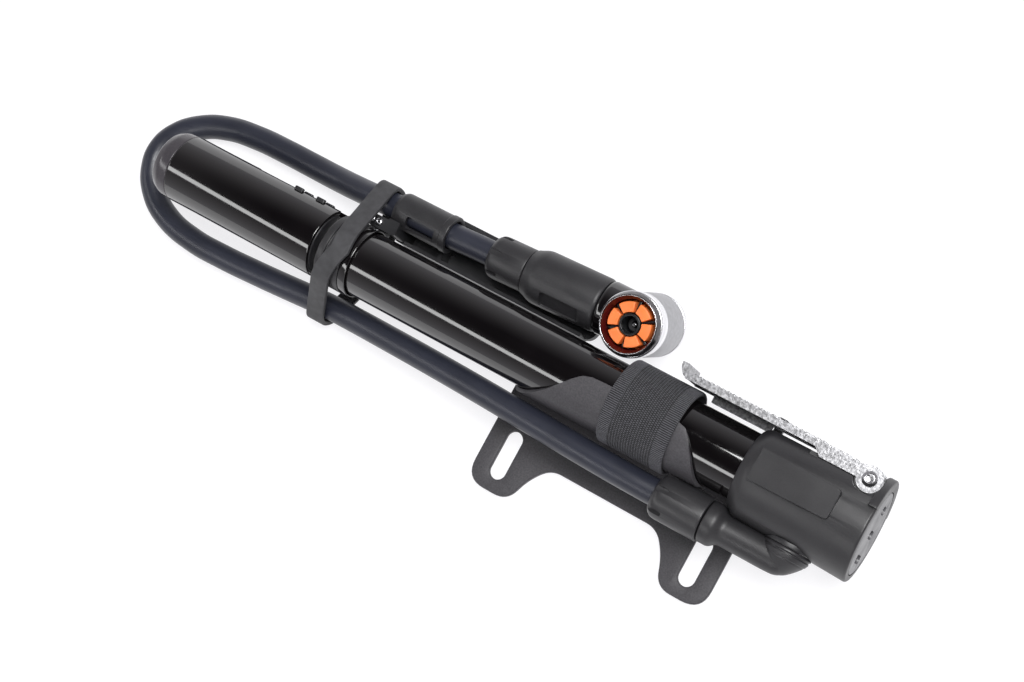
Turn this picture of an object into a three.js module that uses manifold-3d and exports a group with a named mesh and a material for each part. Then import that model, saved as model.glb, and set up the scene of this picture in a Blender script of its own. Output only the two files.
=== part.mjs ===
// Mini floor pump with a folding T-handle, a folding foot peg, a hose with a transverse chuck,
// and a two-eared cage bracket. Millimetres, +Z up.
// The origin is on the bracket's rest face, under the pump axis, halfway between its two slots.
// +X runs along the pump towards its base, and +Y towards the chuck and the foot peg.
import * as THREE from "three";
import { mergeVertices } from "three/addons/utils/BufferGeometryUtils.js";
import Module from "manifold-3d";

const wasm = await Module();
wasm.setup();

// ---- driving dimensions ----
const AXIS_Z = 20; // pump axis above the table
const GAP = 0.3; // between neighbouring pieces
const CUT = 60; // reach of a cutting tool beyond the part

const BARREL_R = 10;
const BARREL_BORE = 8.8;
const BARREL_START = -98;
const BARREL_END = 44;

const BASE_START = 36.2;
const BASE_END = 73.3;
const BASE_START_R = 13.4;
const BASE_END_R = 14.5;
const BASE_LUG_R = 15.6;
const BASE_FLAT_Y = 12.1;
const BASE_LUG_X = 70.8;
const END_PLATE_R = 12.1;
const PAD_Y = 1.7;

const RIVET_X = 67.3;
const RIVET_Y = 12.3;
const PEG_TIP_X = 10.8;
const PEG_HALF_HEIGHT = 7.4;
const PEG_SHEET = 1.2;
const EYE_R = 3.7;

const SIDE_Y = -17.7; // axis of the elbow's outlet, its nut and the hose
const ELBOW_X = 56.1;
const ELBOW_FACE_Y = -13.6;
const ELBOW_HEAD_R = 6.9;
const ELBOW_TUBE_R = 4.3;
const BASE_NUT_START = 17.6;
const BASE_NUT_END = 32.9;
const NUT_R = 6.6;
const NUT_BORE = 3.5;

const HOSE_R = 3.9;

const COLLAR_START = -103.9;
const COLLAR_END = -92.5;
const COLLAR_R = 11;

const HANDLE_START = -161.4;
const HANDLE_END = -106.6;
const HANDLE_R = 10.7;
const HANDLE_BORE = 9.5;
const HANDLE_CAP_START = -168.2;
const HANDLE_PIVOT_X = -134.4;
const BLADE_HALF_THICKNESS = 2;
const ROD_R = 4;
const ROD_START = -104.1;
const PISTON_START = 30.3;

const PLATE_THICKNESS = 2;
const SLOT_X = 32; // half the 64 mm bottle cage pitch
const SLOT_Y = [-37.1, -21.8];
const SLOT_HALF_WIDTH = 2.6;
const EAR_TIP_Y = -41;
const EAR_HALF_WIDTH = 7.9;
const PLATE_FRONT_Y = -26.7;
const PLATE_BACK_Y = 8;
const CRADLE_R = 11.4;
const STRAP_R = 12.7;
const STRAP_X = [-4.4, 16.4];

const HEAD_START = new THREE.Vector3(-60.5, 20.35, 14);
const HEAD_YAW = THREE.MathUtils.degToRad(2);
const HEAD_ROLL = THREE.MathUtils.degToRad(12);
const HEAD_NUT_LENGTH = 12.4;
const HEAD_BODY_START = 12.7;
const HEAD_BODY_END = 37.1;
const HEAD_BODY_R = 8.2;
const CHUCK_X = 50; // from the head's start to the chuck's axis
const CHUCK_R = 9.4;
const CHUCK_BACK = -12.3;
const CHUCK_SHOULDER = 11.8;
const CHUCK_NOSE = 14;

const FLOOR_Z = [1.8, 3.2]; // the holder's tray
const SLEEVE_X = [-94.1, -74.8];
const SLEEVE_R = 5.5;
const HOLDER_Y = 19.8;
const HOLDER_Z = 14;

// Centre line of the hose, from the elbow's nut round the handle's end to the head's nut.
const HOSE_ROUTE = [
  [17.3, -17.7, 20],
  [9, -17.7, 20],
  [-8, -17.4, 19.2],
  [-27, -16.8, 17.2],
  [-46, -16.3, 14.6],
  [-64, -16.0, 12.0],
  [-80, -15.9, 9.6],
  [-94, -15.9, 7.6],
  [-101, -16.0, 6.7],
  [-108, -16.3, 5.85],
  [-114, -16.7, 5.05],
  [-121, -17.2, 4.4],
  [-132, -17.9, 3.98],
  [-145, -18.5, 3.95],
  [-157, -18.4, 3.95],
  [-169, -16.1, 3.95],
  [-178, -10.9, 3.95],
  [-182.8, -4.2, 3.95],
  [-183.8, 2.2, 3.95],
  [-181, 8.6, 3.95],
  [-174.6, 14.2, 3.95],
  [-165.2, 18.1, 3.95],
  [-154, 19.7, 3.95],
  [-143, 20.0, 3.98],
  [-132, 19.9, 4.4],
  [-121, 19.7, 6.2],
  [-110, 19.6, 9.8],
  [-101.5, 19.7, 12.7],
  [-94, 19.8, 13.9],
  [-84, 19.8, 14],
  [-74, 19.8, 14],
  [-66, 20.15, 14],
  [-60.8, 20.3, 14],
];

// ---- geometry helpers ----
const V2 = (x, y) => new THREE.Vector2(x, y);

// A closed geometry as a manifold solid, and back. A solid passes through unchanged.
function solid(shape) {
  if (!shape.isBufferGeometry) return shape;
  const bare = shape.clone();
  bare.deleteAttribute("normal");
  bare.deleteAttribute("uv");
  const merged = mergeVertices(bare, 1e-4);
  return new wasm.Manifold(
    new wasm.Mesh({
      numProp: 3,
      vertProperties: merged.attributes.position.array,
      triVerts: new Uint32Array(merged.index.array),
    }),
  );
}

function geometryOf(body) {
  const mesh = body.getMesh();
  const geometry = new THREE.BufferGeometry();
  geometry.setAttribute("position", new THREE.BufferAttribute(mesh.vertProperties.slice(), 3));
  geometry.setIndex(new THREE.BufferAttribute(mesh.triVerts.slice(), 1));
  geometry.computeVertexNormals();
  return geometry;
}

function join(...shapes) {
  return shapes.map(solid).reduce((a, b) => a.add(b));
}

function cut(shape, ...tools) {
  return tools.map(solid).reduce((a, b) => a.subtract(b), solid(shape));
}

function common(a, b) {
  return solid(a).intersect(solid(b));
}

// A profile of [radius, height] points turned about the local X, Y or Z axis.
function turned(profile, segments, axis) {
  const geometry = new THREE.LatheGeometry(
    profile.map(([r, h]) => V2(r, h)),
    segments,
  );
  if (axis === "x") geometry.rotateZ(-Math.PI / 2);
  if (axis === "z") geometry.rotateX(Math.PI / 2);
  return geometry;
}

function discProfile(radius, start, end, bevel = 0.4) {
  return [
    [0, start],
    [radius - bevel, start],
    [radius, start + bevel],
    [radius, end - bevel],
    [radius - bevel, end],
    [0, end],
  ];
}

function ringProfile(bore, radius, start, end, bevel = 0) {
  if (bevel === 0) {
    return [
      [bore, start],
      [radius, start],
      [radius, end],
      [bore, end],
      [bore, start],
    ];
  }
  return [
    [bore, start],
    [radius - bevel, start],
    [radius, start + bevel],
    [radius, end - bevel],
    [radius - bevel, end],
    [bore, end],
    [bore, start],
  ];
}

function box(x, y, z) {
  const geometry = new THREE.BoxGeometry(x[1] - x[0], y[1] - y[0], z[1] - z[0]);
  return geometry.translate((x[0] + x[1]) / 2, (y[0] + y[1]) / 2, (z[0] + z[1]) / 2);
}

// A plain cylinder along an axis, centred on the two other coordinates given.
function rod(axis, radius, range, centre, segments = 24) {
  const profile = [
    [0, range[0]],
    [radius, range[0]],
    [radius, range[1]],
    [0, range[1]],
  ];
  const geometry = turned(profile, segments, axis);
  if (axis === "x") geometry.translate(0, centre[0], centre[1]);
  if (axis === "y") geometry.translate(centre[0], 0, centre[1]);
  if (axis === "z") geometry.translate(centre[0], centre[1], 0);
  return geometry;
}

// A flat outline in X and Y raised from z[0] to z[1].
function plate(outline, z, holes = []) {
  const given = outline instanceof THREE.Shape;
  const shape = given ? outline : new THREE.Shape(outline.map(([x, y]) => V2(x, y)));
  shape.holes.push(...holes);
  const geometry = new THREE.ExtrudeGeometry(shape, {
    depth: z[1] - z[0],
    bevelEnabled: false,
    curveSegments: 8,
  });
  return geometry.translate(0, 0, z[0]);
}

function circlePath(x, y, radius) {
  return new THREE.Path().absarc(x, y, radius, 0, 2 * Math.PI, true);
}

// A ruled solid between two outlines with the same number of 3-D points.
function ruled(bottom, top) {
  const n = bottom.length;
  const geometry = new THREE.BufferGeometry();
  geometry.setAttribute("position", new THREE.Float32BufferAttribute([...bottom, ...top].flat(), 3));
  const index = [];
  for (let i = 0; i < n; i++) {
    const j = (i + 1) % n;
    index.push(i, j, n + j, i, n + j, n + i);
    if (i > 1) index.push(0, i, i - 1, n, n + i - 1, n + i);
  }
  return geometry.setIndex(index);
}

// A round tube along a smooth curve through points.
function tube(points, radius, sides, steps) {
  const curve = new THREE.CatmullRomCurve3(points.map((p) => new THREE.Vector3(...p)), false, "centripetal");
  const section = new THREE.Shape();
  for (let i = 0; i < sides; i++) {
    const a = (2 * Math.PI * i) / sides;
    if (i === 0) section.moveTo(radius * Math.cos(a), radius * Math.sin(a));
    else section.lineTo(radius * Math.cos(a), radius * Math.sin(a));
  }
  section.closePath();
  return new THREE.ExtrudeGeometry(section, { steps, bevelEnabled: false, extrudePath: curve });
}

function helix(radius, wire, start, pitch, turns) {
  const points = [];
  const perTurn = 8;
  for (let i = 0; i <= turns * perTurn; i++) {
    const a = (2 * Math.PI * i) / perTurn;
    points.push([start + (pitch * i) / perTurn, radius * Math.cos(a), radius * Math.sin(a)]);
  }
  return tube(points, wire, 5, turns * perTurn);
}

// ---- materials ----
function finish(color, roughness, metalness = 0) {
  return () => new THREE.MeshStandardMaterial({ color, roughness, metalness });
}

const glossBlack = finish(0x0b0a0c, 0.12, 0.5);
const moulded = finish(0x2a2a2e, 0.6);
const darkMoulded = finish(0x1c1c20, 0.5);
const rubber = finish(0x17181c, 0.55);
const hoseRubber = finish(0x16181f, 0.4);
const bandRubber = finish(0x303034, 0.75);
const bracketPlastic = finish(0x37363c, 0.7);
const webbing = finish(0x1f1f24, 0.95);
const steel = finish(0xb9bbbe, 0.3, 1);
const satinAluminium = finish(0x9a9aa0, 0.35, 1);
const gunmetal = finish(0x55545a, 0.2, 1);
const orange = finish(0xf06a24, 0.5);
const maroon = finish(0x4a1512, 0.5);

const pump = new THREE.Group();

function add(group, name, shape, material) {
  const geometry = shape.isBufferGeometry ? shape : geometryOf(shape);
  const mesh = new THREE.Mesh(geometry, material());
  mesh.name = name;
  group.add(mesh);
  return mesh;
}

// Everything on the pump's own axis is made about X and lifted to the axis height.
const coaxial = new THREE.Group();
coaxial.position.z = AXIS_Z;
pump.add(coaxial);

// ---- barrel and top collar ----
function buildBarrel() {
  add(
    coaxial,
    "barrel_tube",
    turned(ringProfile(BARREL_BORE, BARREL_R, BARREL_START, BARREL_END), 32, "x"),
    glossBlack,
  );
}

const LUG_X = [-100.2, -94.4]; // the holder's arm and the collar's lug under it
const ARM_Y = [11.3, 15];
const SCREW_X = [-98.9, -96.3];
const SCREW_Y = 13.2;
const LUG_TOP = -5.4; // below the pump axis

function buildCollar() {
  const inner = BARREL_R + GAP;
  const wall = 4.9;
  const profile = [
    [5.9, COLLAR_START],
    [10.4, COLLAR_START],
    [10.8, COLLAR_START + 0.4],
    [10.8, -101.6],
    [10.2, -101.3],
    [10.2, -100.9],
    [COLLAR_R, -100.6],
    [COLLAR_R, -94],
    [10.8, COLLAR_END],
    [inner, COLLAR_END],
    [inner, COLLAR_START + wall],
    [5.9, COLLAR_START + wall],
    [5.9, COLLAR_START],
  ];
  const lug = box(LUG_X, [7, 14.6], [LUG_TOP - 3.6, LUG_TOP]);
  const bored = cut(lug, rod("x", COLLAR_R - 0.2, [-120, -80], [0, 0], 28));
  const screws = SCREW_X.map((x) => rod("z", 1, [-12, 0], [x, SCREW_Y], 10));
  add(coaxial, "top_collar", cut(join(turned(profile, 28, "x"), bored), ...screws), moulded);
  add(
    coaxial,
    "rod_bush",
    turned(ringProfile(ROD_R + 0.1, 5.6, COLLAR_START + 0.4, COLLAR_START + wall - 0.2), 18, "x"),
    darkMoulded,
  );
  add(coaxial, "rod_seal", turned(ringProfile(ROD_R + 0.1, 5.6, -98.6, -97), 18, "x"), rubber);
  add(coaxial, "bump_stop", turned(ringProfile(ROD_R + 0.4, 8.2, -96.7, -93.2), 18, "x"), rubber);
}

// ---- base, foot peg and check valve ----
const RING_Y = [-13.3, -12.3]; // the swivel ring between the base's boss and the elbow

// Room in the base's side for the elbow's outlet.
function outletTool() {
  const wide = 6.5;
  const narrow = ELBOW_TUBE_R + 0.4;
  const profile = [
    [0, 30],
    [wide, 30],
    [wide, 37.2],
    [narrow, 39.4],
    [narrow, ELBOW_X],
    [0, ELBOW_X],
  ];
  return turned(profile, 18, "x").translate(0, SIDE_Y, 0);
}

function buildBase() {
  const body = turned(
    [
      [0, BASE_START],
      [11.4, BASE_START],
      [12.9, BASE_START + 1.6],
      [BASE_START_R, BASE_START + 3.4],
      [BASE_END_R, BASE_END - 0.6],
      [BASE_END_R - 0.5, BASE_END],
      [0, BASE_END],
    ],
    32,
    "x",
  );
  const trimmed = cut(
    body,
    box([BASE_START - 1, BASE_LUG_X], [BASE_FLAT_Y, CUT], [-CUT, CUT]),
    rod("y", ELBOW_HEAD_R + 0.5, [-CUT, RING_Y[1] + GAP], [ELBOW_X, 0], 22),
    outletTool(),
  );
  const lug = common(
    turned(discProfile(BASE_LUG_R, BASE_LUG_X, BASE_END, 0.5), 32, "x"),
    box([BASE_LUG_X, BASE_END], [6, CUT], [-CUT, CUT]),
  );
  const bossHeight = 5.8;
  const bossZ = [-bossHeight, bossHeight];
  const boss = join(
    rod("z", 3.3, bossZ, [RIVET_X, RIVET_Y], 20),
    box([RIVET_X - 3.3, BASE_LUG_X + 0.5], [8, RIVET_Y], bossZ),
  );
  const elbowBoss = rod("y", ELBOW_HEAD_R + 0.1, [RING_Y[1] + GAP, -8], [ELBOW_X, 0], 18);
  const catchArm = box([BASE_START - 0.4, BASE_START + 2.2], [8, 16.9], [-9.6, -7.9]);
  const pad = ruled(
    [
      [40, PAD_Y - 4.8, 9],
      [64.6, PAD_Y - 4.4, 9],
      [64.6, PAD_Y + 4.4, 9],
      [40, PAD_Y + 4.8, 9],
    ],
    [
      [40, PAD_Y - 4.6, 13.2],
      [63.4, PAD_Y - 4.2, 15.1],
      [63.4, PAD_Y + 4.2, 15.1],
      [40, PAD_Y + 4.6, 13.2],
    ],
  );
  const chamber = 5;
  const tools = [
    box([50, BASE_LUG_X], [10.9, CUT], [bossHeight + 0.1, CUT]),
    box([50, BASE_LUG_X], [10.9, CUT], [-CUT, -bossHeight - 0.1]),
    rod("z", EYE_R + 0.6, [bossHeight + 0.1, CUT], [RIVET_X, RIVET_Y], 22),
    rod("z", EYE_R + 0.6, [-CUT, -bossHeight - 0.1], [RIVET_X, RIVET_Y], 22),
    rod("z", 1.5, [-CUT, CUT], [RIVET_X, RIVET_Y], 12),
    rod("x", BARREL_R + GAP, [BASE_START - 1, 46], [0, 0], 32),
    rod("x", 2.6, [45, 48], [0, 0], 10),
    rod("x", chamber, [47, 60.5], [0, 0], 14),
    rod("y", 4.2, [-CUT, 0], [ELBOW_X, 0], 14),
    rod("x", END_PLATE_R + GAP, [71.8, BASE_END + 1], [0, 0], 28),
  ];
  add(coaxial, "base_body", cut(join(trimmed, lug, boss, elbowBoss, catchArm, pad), ...tools), moulded);

  const marks = [6.8, -0.3, -7.4].map((y) => box([72.6, CUT + 20], [y - 1.2, y + 1.2], [-3, 3]));
  const endPlate = turned(discProfile(END_PLATE_R, 72.1, BASE_END, 0.3), 28, "x");
  add(coaxial, "base_end_plate", cut(endPlate, ...marks), darkMoulded);

  add(coaxial, "base_seal_ring", turned(ringProfile(8.6, BARREL_R - 0.1, 44.3, 45.7), 24, "x"), rubber);
  add(coaxial, "check_valve_disc", turned(discProfile(4.2, 47.2, 48.4, 0.3), 14, "x"), rubber);
  add(coaxial, "check_valve_spring", helix(3.2, 0.35, 50.4, 2.8, 3), steel);
}

function pegFlangeOutline() {
  const shape = new THREE.Shape();
  shape.moveTo(PEG_TIP_X, 13.4);
  shape.lineTo(50.6, 13.4);
  shape.lineTo(53, 11.3);
  shape.lineTo(RIVET_X - Math.sqrt(EYE_R ** 2 - 1), 11.3);
  shape.absarc(RIVET_X, RIVET_Y, EYE_R, Math.asin(1 / EYE_R) - Math.PI, 1.9, false);
  shape.lineTo(RIVET_X - 4.4, 14.9);
  shape.lineTo(RIVET_X - 5.4, 15.5);
  shape.lineTo(PEG_TIP_X, 15.5);
  return shape;
}

function buildFootPeg() {
  const top = [PEG_HALF_HEIGHT - PEG_SHEET, PEG_HALF_HEIGHT];
  const bottom = [-PEG_HALF_HEIGHT, PEG_SHEET - PEG_HALF_HEIGHT];
  const flanges = [top, bottom].map((z) => {
    return plate(pegFlangeOutline(), z, [circlePath(RIVET_X, RIVET_Y, 1.6)]);
  });
  const web = box([PEG_TIP_X - 0.2, RIVET_X - 5.4], [14.8, 15.5], [-PEG_HALF_HEIGHT, PEG_HALF_HEIGHT]);
  const curl = plate(
    [
      [PEG_TIP_X + 0.5, 13.4],
      [PEG_TIP_X + 0.5, 15.5],
      [PEG_TIP_X, 15.9],
      [PEG_TIP_X - 0.5, 17.5],
      [PEG_TIP_X - 2.5, 17.4],
      [PEG_TIP_X - 2, 15.6],
      [PEG_TIP_X - 0.8, 14],
    ],
    [-PEG_HALF_HEIGHT, PEG_HALF_HEIGHT],
  );
  add(coaxial, "foot_peg", join(flanges[0], flanges[1], web, curl), steel);

  const shank = 1.35;
  const head = 2.1;
  const face = PEG_HALF_HEIGHT + 0.15;
  const rivet = turned(
    [
      [0, -face - 0.9],
      [head - 0.5, -face - 0.7],
      [head, -face - 0.1],
      [head, -face],
      [shank, -face],
      [shank, face],
      [head, face],
      [head, face + 0.1],
      [head - 0.5, face + 0.7],
      [0, face + 0.9],
    ],
    14,
    "z",
  );
  add(coaxial, "foot_peg_rivet", rivet, steel).position.set(RIVET_X, RIVET_Y, 0);
}

// ---- elbow and the nut that holds the hose on it ----
function notchedNut(start, end, bore, notches) {
  const blank = turned(
    [
      [bore, start],
      [NUT_R - 1, start],
      [NUT_R - 0.3, start + 0.8],
      [NUT_R, start + 2],
      [NUT_R, end - 0.5],
      [NUT_R - 0.4, end],
      [bore, end],
      [bore, start],
    ],
    28,
    "x",
  );
  const tools = [];
  for (let i = 0; i < notches; i++) {
    const tool = box([start - 1, start + 4.6], [NUT_R - 0.7, NUT_R + 1], [-0.8, 0.8]);
    tools.push(tool.rotateX((2 * Math.PI * (i + 0.25)) / notches));
  }
  return cut(blank, ...tools);
}

function buildElbow() {
  const dome = [
    [0, -ELBOW_FACE_Y],
    [ELBOW_HEAD_R, -ELBOW_FACE_Y],
    [ELBOW_HEAD_R, 15.3],
    [5.9, 17],
    [4.1, 18.9],
    [2.2, 20.6],
    [0, 21.6],
  ];
  const head = turned(dome, 22, "y").rotateX(Math.PI);
  head.translate(ELBOW_X, 0, 0);
  const spigot = 3.2;
  const outlet = turned(
    [
      [0, BASE_NUT_START + 0.6],
      [spigot, BASE_NUT_START + 0.6],
      [spigot, BASE_NUT_END + GAP],
      [6.1, BASE_NUT_END + GAP],
      [6.1, 36.6],
      [ELBOW_TUBE_R, 38.6],
      [ELBOW_TUBE_R, ELBOW_X],
      [0, ELBOW_X],
    ],
    22,
    "x",
  );
  outlet.translate(0, SIDE_Y, 0);
  const stem = rod("y", spigot, [SIDE_Y, -7], [ELBOW_X, 0], 14);
  const airway = 1.6;
  const bores = [
    rod("x", airway, [BASE_NUT_START, ELBOW_X], [SIDE_Y, 0], 10),
    rod("y", airway, [SIDE_Y, 0], [ELBOW_X, 0], 10),
  ];
  add(coaxial, "hose_elbow", cut(join(head, outlet, stem), ...bores), moulded);
  const ringY = -11.6;
  const seal = turned(ringProfile(spigot + 0.05, 4.15, 0, 1.2), 14, "y");
  add(coaxial, "elbow_o_ring", seal, rubber).position.set(ELBOW_X, ringY, 0);
  const swivel = ringProfile(spigot + 0.3, ELBOW_HEAD_R + 0.3, RING_Y[0], RING_Y[1], 0.3);
  add(coaxial, "elbow_swivel_ring", turned(swivel, 22, "y"), darkMoulded).position.x = ELBOW_X;
  const nut = add(coaxial, "base_union_nut", notchedNut(BASE_NUT_START, BASE_NUT_END, NUT_BORE, 6), moulded);
  nut.position.y = SIDE_Y;
}

// ---- piston, rod and folding handle ----
function buildRod() {
  const piston = [
    [0, PISTON_START],
    [8.2, PISTON_START],
    [8.2, 32.4],
    [6.3, 32.4],
    [6.3, 35.6],
    [8.2, 35.6],
    [8.2, 37.6],
    [0, 37.6],
  ];
  add(coaxial, "piston_rod", rod("x", ROD_R, [ROD_START, PISTON_START - 0.1], [0, 0], 18), satinAluminium);
  add(coaxial, "piston_head", turned(piston, 22, "x"), darkMoulded);
  add(coaxial, "piston_seal", turned(ringProfile(6.5, 8.6, 32.7, 35.3), 22, "x"), rubber);
  const blade = new THREE.Shape();
  blade.moveTo(ROD_START - 0.1, -4.2);
  blade.lineTo(ROD_START - 0.1, 4.2);
  blade.lineTo(HANDLE_PIVOT_X, 4.2);
  blade.absarc(HANDLE_PIVOT_X, 0, 4.2, Math.PI / 2, (3 * Math.PI) / 2, false);
  const z = [-BLADE_HALF_THICKNESS, BLADE_HALF_THICKNESS];
  add(coaxial, "rod_end_blade", plate(blade, z, [circlePath(HANDLE_PIVOT_X, 0, 1.6)]), steel);
}

function buildHandle() {
  const slotHalf = BLADE_HALF_THICKNESS + 0.5;
  const slot = box([HANDLE_PIVOT_X - 4.8, HANDLE_END + 5], [0, CUT], [-slotHalf, slotHalf]);
  const tubeBlank = turned(ringProfile(HANDLE_BORE, HANDLE_R, HANDLE_START, HANDLE_END, 0.3), 32, "x");
  add(coaxial, "handle_tube", cut(tubeBlank, slot), glossBlack);

  const linerR = HANDLE_BORE - 0.2;
  const linerBlank = turned(discProfile(linerR, -148, HANDLE_END + 0.2, 0.4), 24, "x");
  const linerSlot = box([HANDLE_PIVOT_X - 4.8, HANDLE_END + 5], [-4.8, CUT], [-slotHalf, slotHalf]);
  const pinHole = rod("z", 1.5, [-CUT, CUT], [HANDLE_PIVOT_X, 0], 12);
  add(coaxial, "handle_liner", cut(linerBlank, linerSlot, pinHole), darkMoulded);
  add(
    coaxial,
    "handle_pivot_pin",
    rod("z", 1.4, [-8.6, 8.6], [HANDLE_PIVOT_X, 0], 12),
    steel,
  );
  const cap = [
    [0, HANDLE_CAP_START],
    [7.4, HANDLE_CAP_START],
    [9.4, HANDLE_CAP_START + 0.9],
    [10.4, HANDLE_CAP_START + 3.2],
    [HANDLE_R - 0.1, HANDLE_START - 0.1],
    [HANDLE_BORE - 0.2, HANDLE_START - 0.1],
    [HANDLE_BORE - 0.2, HANDLE_START + 8],
    [7.8, HANDLE_START + 8],
    [7.8, HANDLE_START],
    [0, HANDLE_START],
  ];
  add(coaxial, "handle_end_cap", turned(cap, 24, "x"), moulded);
}

// ---- bracket, cradle and strap ----
function bracketOutline() {
  const half = SLOT_X + EAR_HALF_WIDTH;
  const corner = 5;
  const shape = new THREE.Shape();
  shape.moveTo(half - 3, PLATE_BACK_Y);
  shape.quadraticCurveTo(half, PLATE_BACK_Y, half, PLATE_BACK_Y - 3);
  shape.lineTo(half, EAR_TIP_Y + corner);
  shape.quadraticCurveTo(half, EAR_TIP_Y, half - corner, EAR_TIP_Y);
  shape.lineTo(SLOT_X - 2.5, EAR_TIP_Y);
  shape.quadraticCurveTo(SLOT_X - 6.5, EAR_TIP_Y, SLOT_X - 7.6, EAR_TIP_Y + 4.4);
  shape.lineTo(SLOT_X - 10.4, EAR_TIP_Y + 9.4);
  shape.quadraticCurveTo(SLOT_X - 12.6, PLATE_FRONT_Y, SLOT_X - 17, PLATE_FRONT_Y);
  shape.lineTo(17 - SLOT_X, PLATE_FRONT_Y);
  shape.quadraticCurveTo(12.6 - SLOT_X, PLATE_FRONT_Y, 10.4 - SLOT_X, EAR_TIP_Y + 9.4);
  shape.lineTo(7.6 - SLOT_X, EAR_TIP_Y + 4.4);
  shape.quadraticCurveTo(6.5 - SLOT_X, EAR_TIP_Y, 2.5 - SLOT_X, EAR_TIP_Y);
  shape.lineTo(corner - half, EAR_TIP_Y);
  shape.quadraticCurveTo(-half, EAR_TIP_Y, -half, EAR_TIP_Y + corner);
  shape.lineTo(-half, PLATE_BACK_Y - 3);
  shape.quadraticCurveTo(-half, PLATE_BACK_Y, 3 - half, PLATE_BACK_Y);
  return shape;
}

function slotTool(x) {
  const [low, high] = SLOT_Y;
  const ends = [low + SLOT_HALF_WIDTH, high - SLOT_HALF_WIDTH];
  const rounds = ends.map((y) => rod("z", SLOT_HALF_WIDTH, [-CUT, CUT], [x, y], 14));
  return join(...rounds, box([x - SLOT_HALF_WIDTH, x + SLOT_HALF_WIDTH], ends, [-CUT, CUT]));
}

function buildBracket() {
  const slots = [-SLOT_X, SLOT_X].map(slotTool);
  const sheet = cut(plate(bracketOutline(), [0, PLATE_THICKNESS]), ...slots);
  const wing = plate(
    [
      [-34, -30],
      [-34, -12],
      [-27, -8.2],
      [-21.6, -5],
      [-15.7, -0.4],
      [-11, 1.9],
      [17, 1.9],
      [20.6, -0.6],
      [23.6, -4.4],
      [27.5, -9.8],
      [27.5, -30],
    ],
    [AXIS_Z, AXIS_Z + CUT],
  );
  const lower = box([-34, 27.5], [-30, 7], [0, AXIS_Z]);
  const shell = turned(
    [
      [BARREL_R + 0.25, -34],
      [CRADLE_R, -34],
      [CRADLE_R, 27.5],
      [BARREL_R + 0.25, 27.5],
      [BARREL_R + 0.25, -34],
    ],
    32,
    "x",
  ).translate(0, 0, AXIS_Z);
  const cradle = common(shell, join(wing, lower));
  const room = ringProfile(CRADLE_R + 0.1, STRAP_R + 0.3, STRAP_X[0] - 0.5, STRAP_X[1] + 0.5);
  const strapRoom = turned(room, 32, "x").translate(0, 0, AXIS_Z);
  const foot = cut(
    box([-30, 25], [-6, 6], [PLATE_THICKNESS - 0.5, 12]),
    rod("x", BARREL_R + 0.5, [-40, 40], [0, AXIS_Z], 32),
    strapRoom,
  );
  const nutNotch = rod("x", NUT_R + 0.6, [17.4, 40], [SIDE_Y, AXIS_Z], 22);
  add(pump, "cage_bracket", cut(join(sheet, cradle, foot), nutNotch), bracketPlastic);

  const loop = turned(ringProfile(CRADLE_R + 0.2, STRAP_R, STRAP_X[0], STRAP_X[1], 0.2), 32, "x");
  add(coaxial, "strap", loop, webbing);
}

// ---- hose holder ----
function buildHolder() {
  const wallZ = [FLOOR_Z[0], 9.4];
  const bore = HOSE_R + 0.5;
  const floor = new THREE.Shape();
  floor.moveTo(-93, 10.9);
  floor.lineTo(-29, 10.9);
  floor.quadraticCurveTo(-24.4, 10.9, -24.4, 15.5);
  floor.lineTo(-24.4, 22);
  floor.quadraticCurveTo(-24.4, 26, -28.4, 26);
  floor.lineTo(-93, 26);
  const sleeve = turned(
    [
      [bore, SLEEVE_X[0]],
      [SLEEVE_R - 0.8, SLEEVE_X[0]],
      [SLEEVE_R, SLEEVE_X[0] + 1.2],
      [SLEEVE_R, SLEEVE_X[1] - 2.2],
      [SLEEVE_R + 0.5, SLEEVE_X[1] - 1.8],
      [SLEEVE_R + 0.5, SLEEVE_X[1]],
      [bore, SLEEVE_X[1]],
      [bore, SLEEVE_X[0]],
    ],
    24,
    "x",
  ).translate(0, HOLDER_Y, HOLDER_Z);
  const hosePath = rod("x", bore, [-100, -70], [HOLDER_Y, HOLDER_Z], 18);
  const window = box([-88.7, -78.7], [-1.9, 1.9], [3, 7]).rotateX(0.63);
  window.translate(0, HOLDER_Y, HOLDER_Z);
  const legs = [
    [-92, -87.5],
    [-80.5, -76],
  ].map((x) => box(x, [15, 24.6], [FLOOR_Z[0], 12]));
  const walls = [
    box([-93, -27], [10.9, 12], wallZ),
    box([-93, -91.8], [10.9, 17], wallZ),
    box([-78.2, -77], [10.9, 17], wallZ),
  ];
  const link = box([-94, -90], [11.3, 15.6], [FLOOR_Z[0], AXIS_Z + LUG_TOP + 3.4]);
  const arm = box([LUG_X[0], -91], ARM_Y, [AXIS_Z + LUG_TOP + GAP, AXIS_Z + LUG_TOP + 3.4]);
  const screws = SCREW_X.map((x) => rod("z", 1, [0, CUT], [x, SCREW_Y], 10));
  const whole = join(plate(floor, FLOOR_Z), sleeve, ...legs, ...walls, link, arm);
  add(pump, "hose_holder", cut(whole, hosePath, window, ...screws), darkMoulded);
  SCREW_X.forEach((x, i) => {
    const top = LUG_TOP + 3.4;
    const screw = turned(
      [
        [0, top - 6.6],
        [0.8, top - 6.6],
        [0.8, top + 0.1],
        [1.1, top + 0.1],
        [1.1, top + 0.5],
        [0.7, top + 0.8],
        [0, top + 0.8],
      ],
      10,
      "z",
    );
    add(coaxial, `holder_screw_${i + 1}`, screw, steel).position.set(x, SCREW_Y, 0);
  });
}

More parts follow.
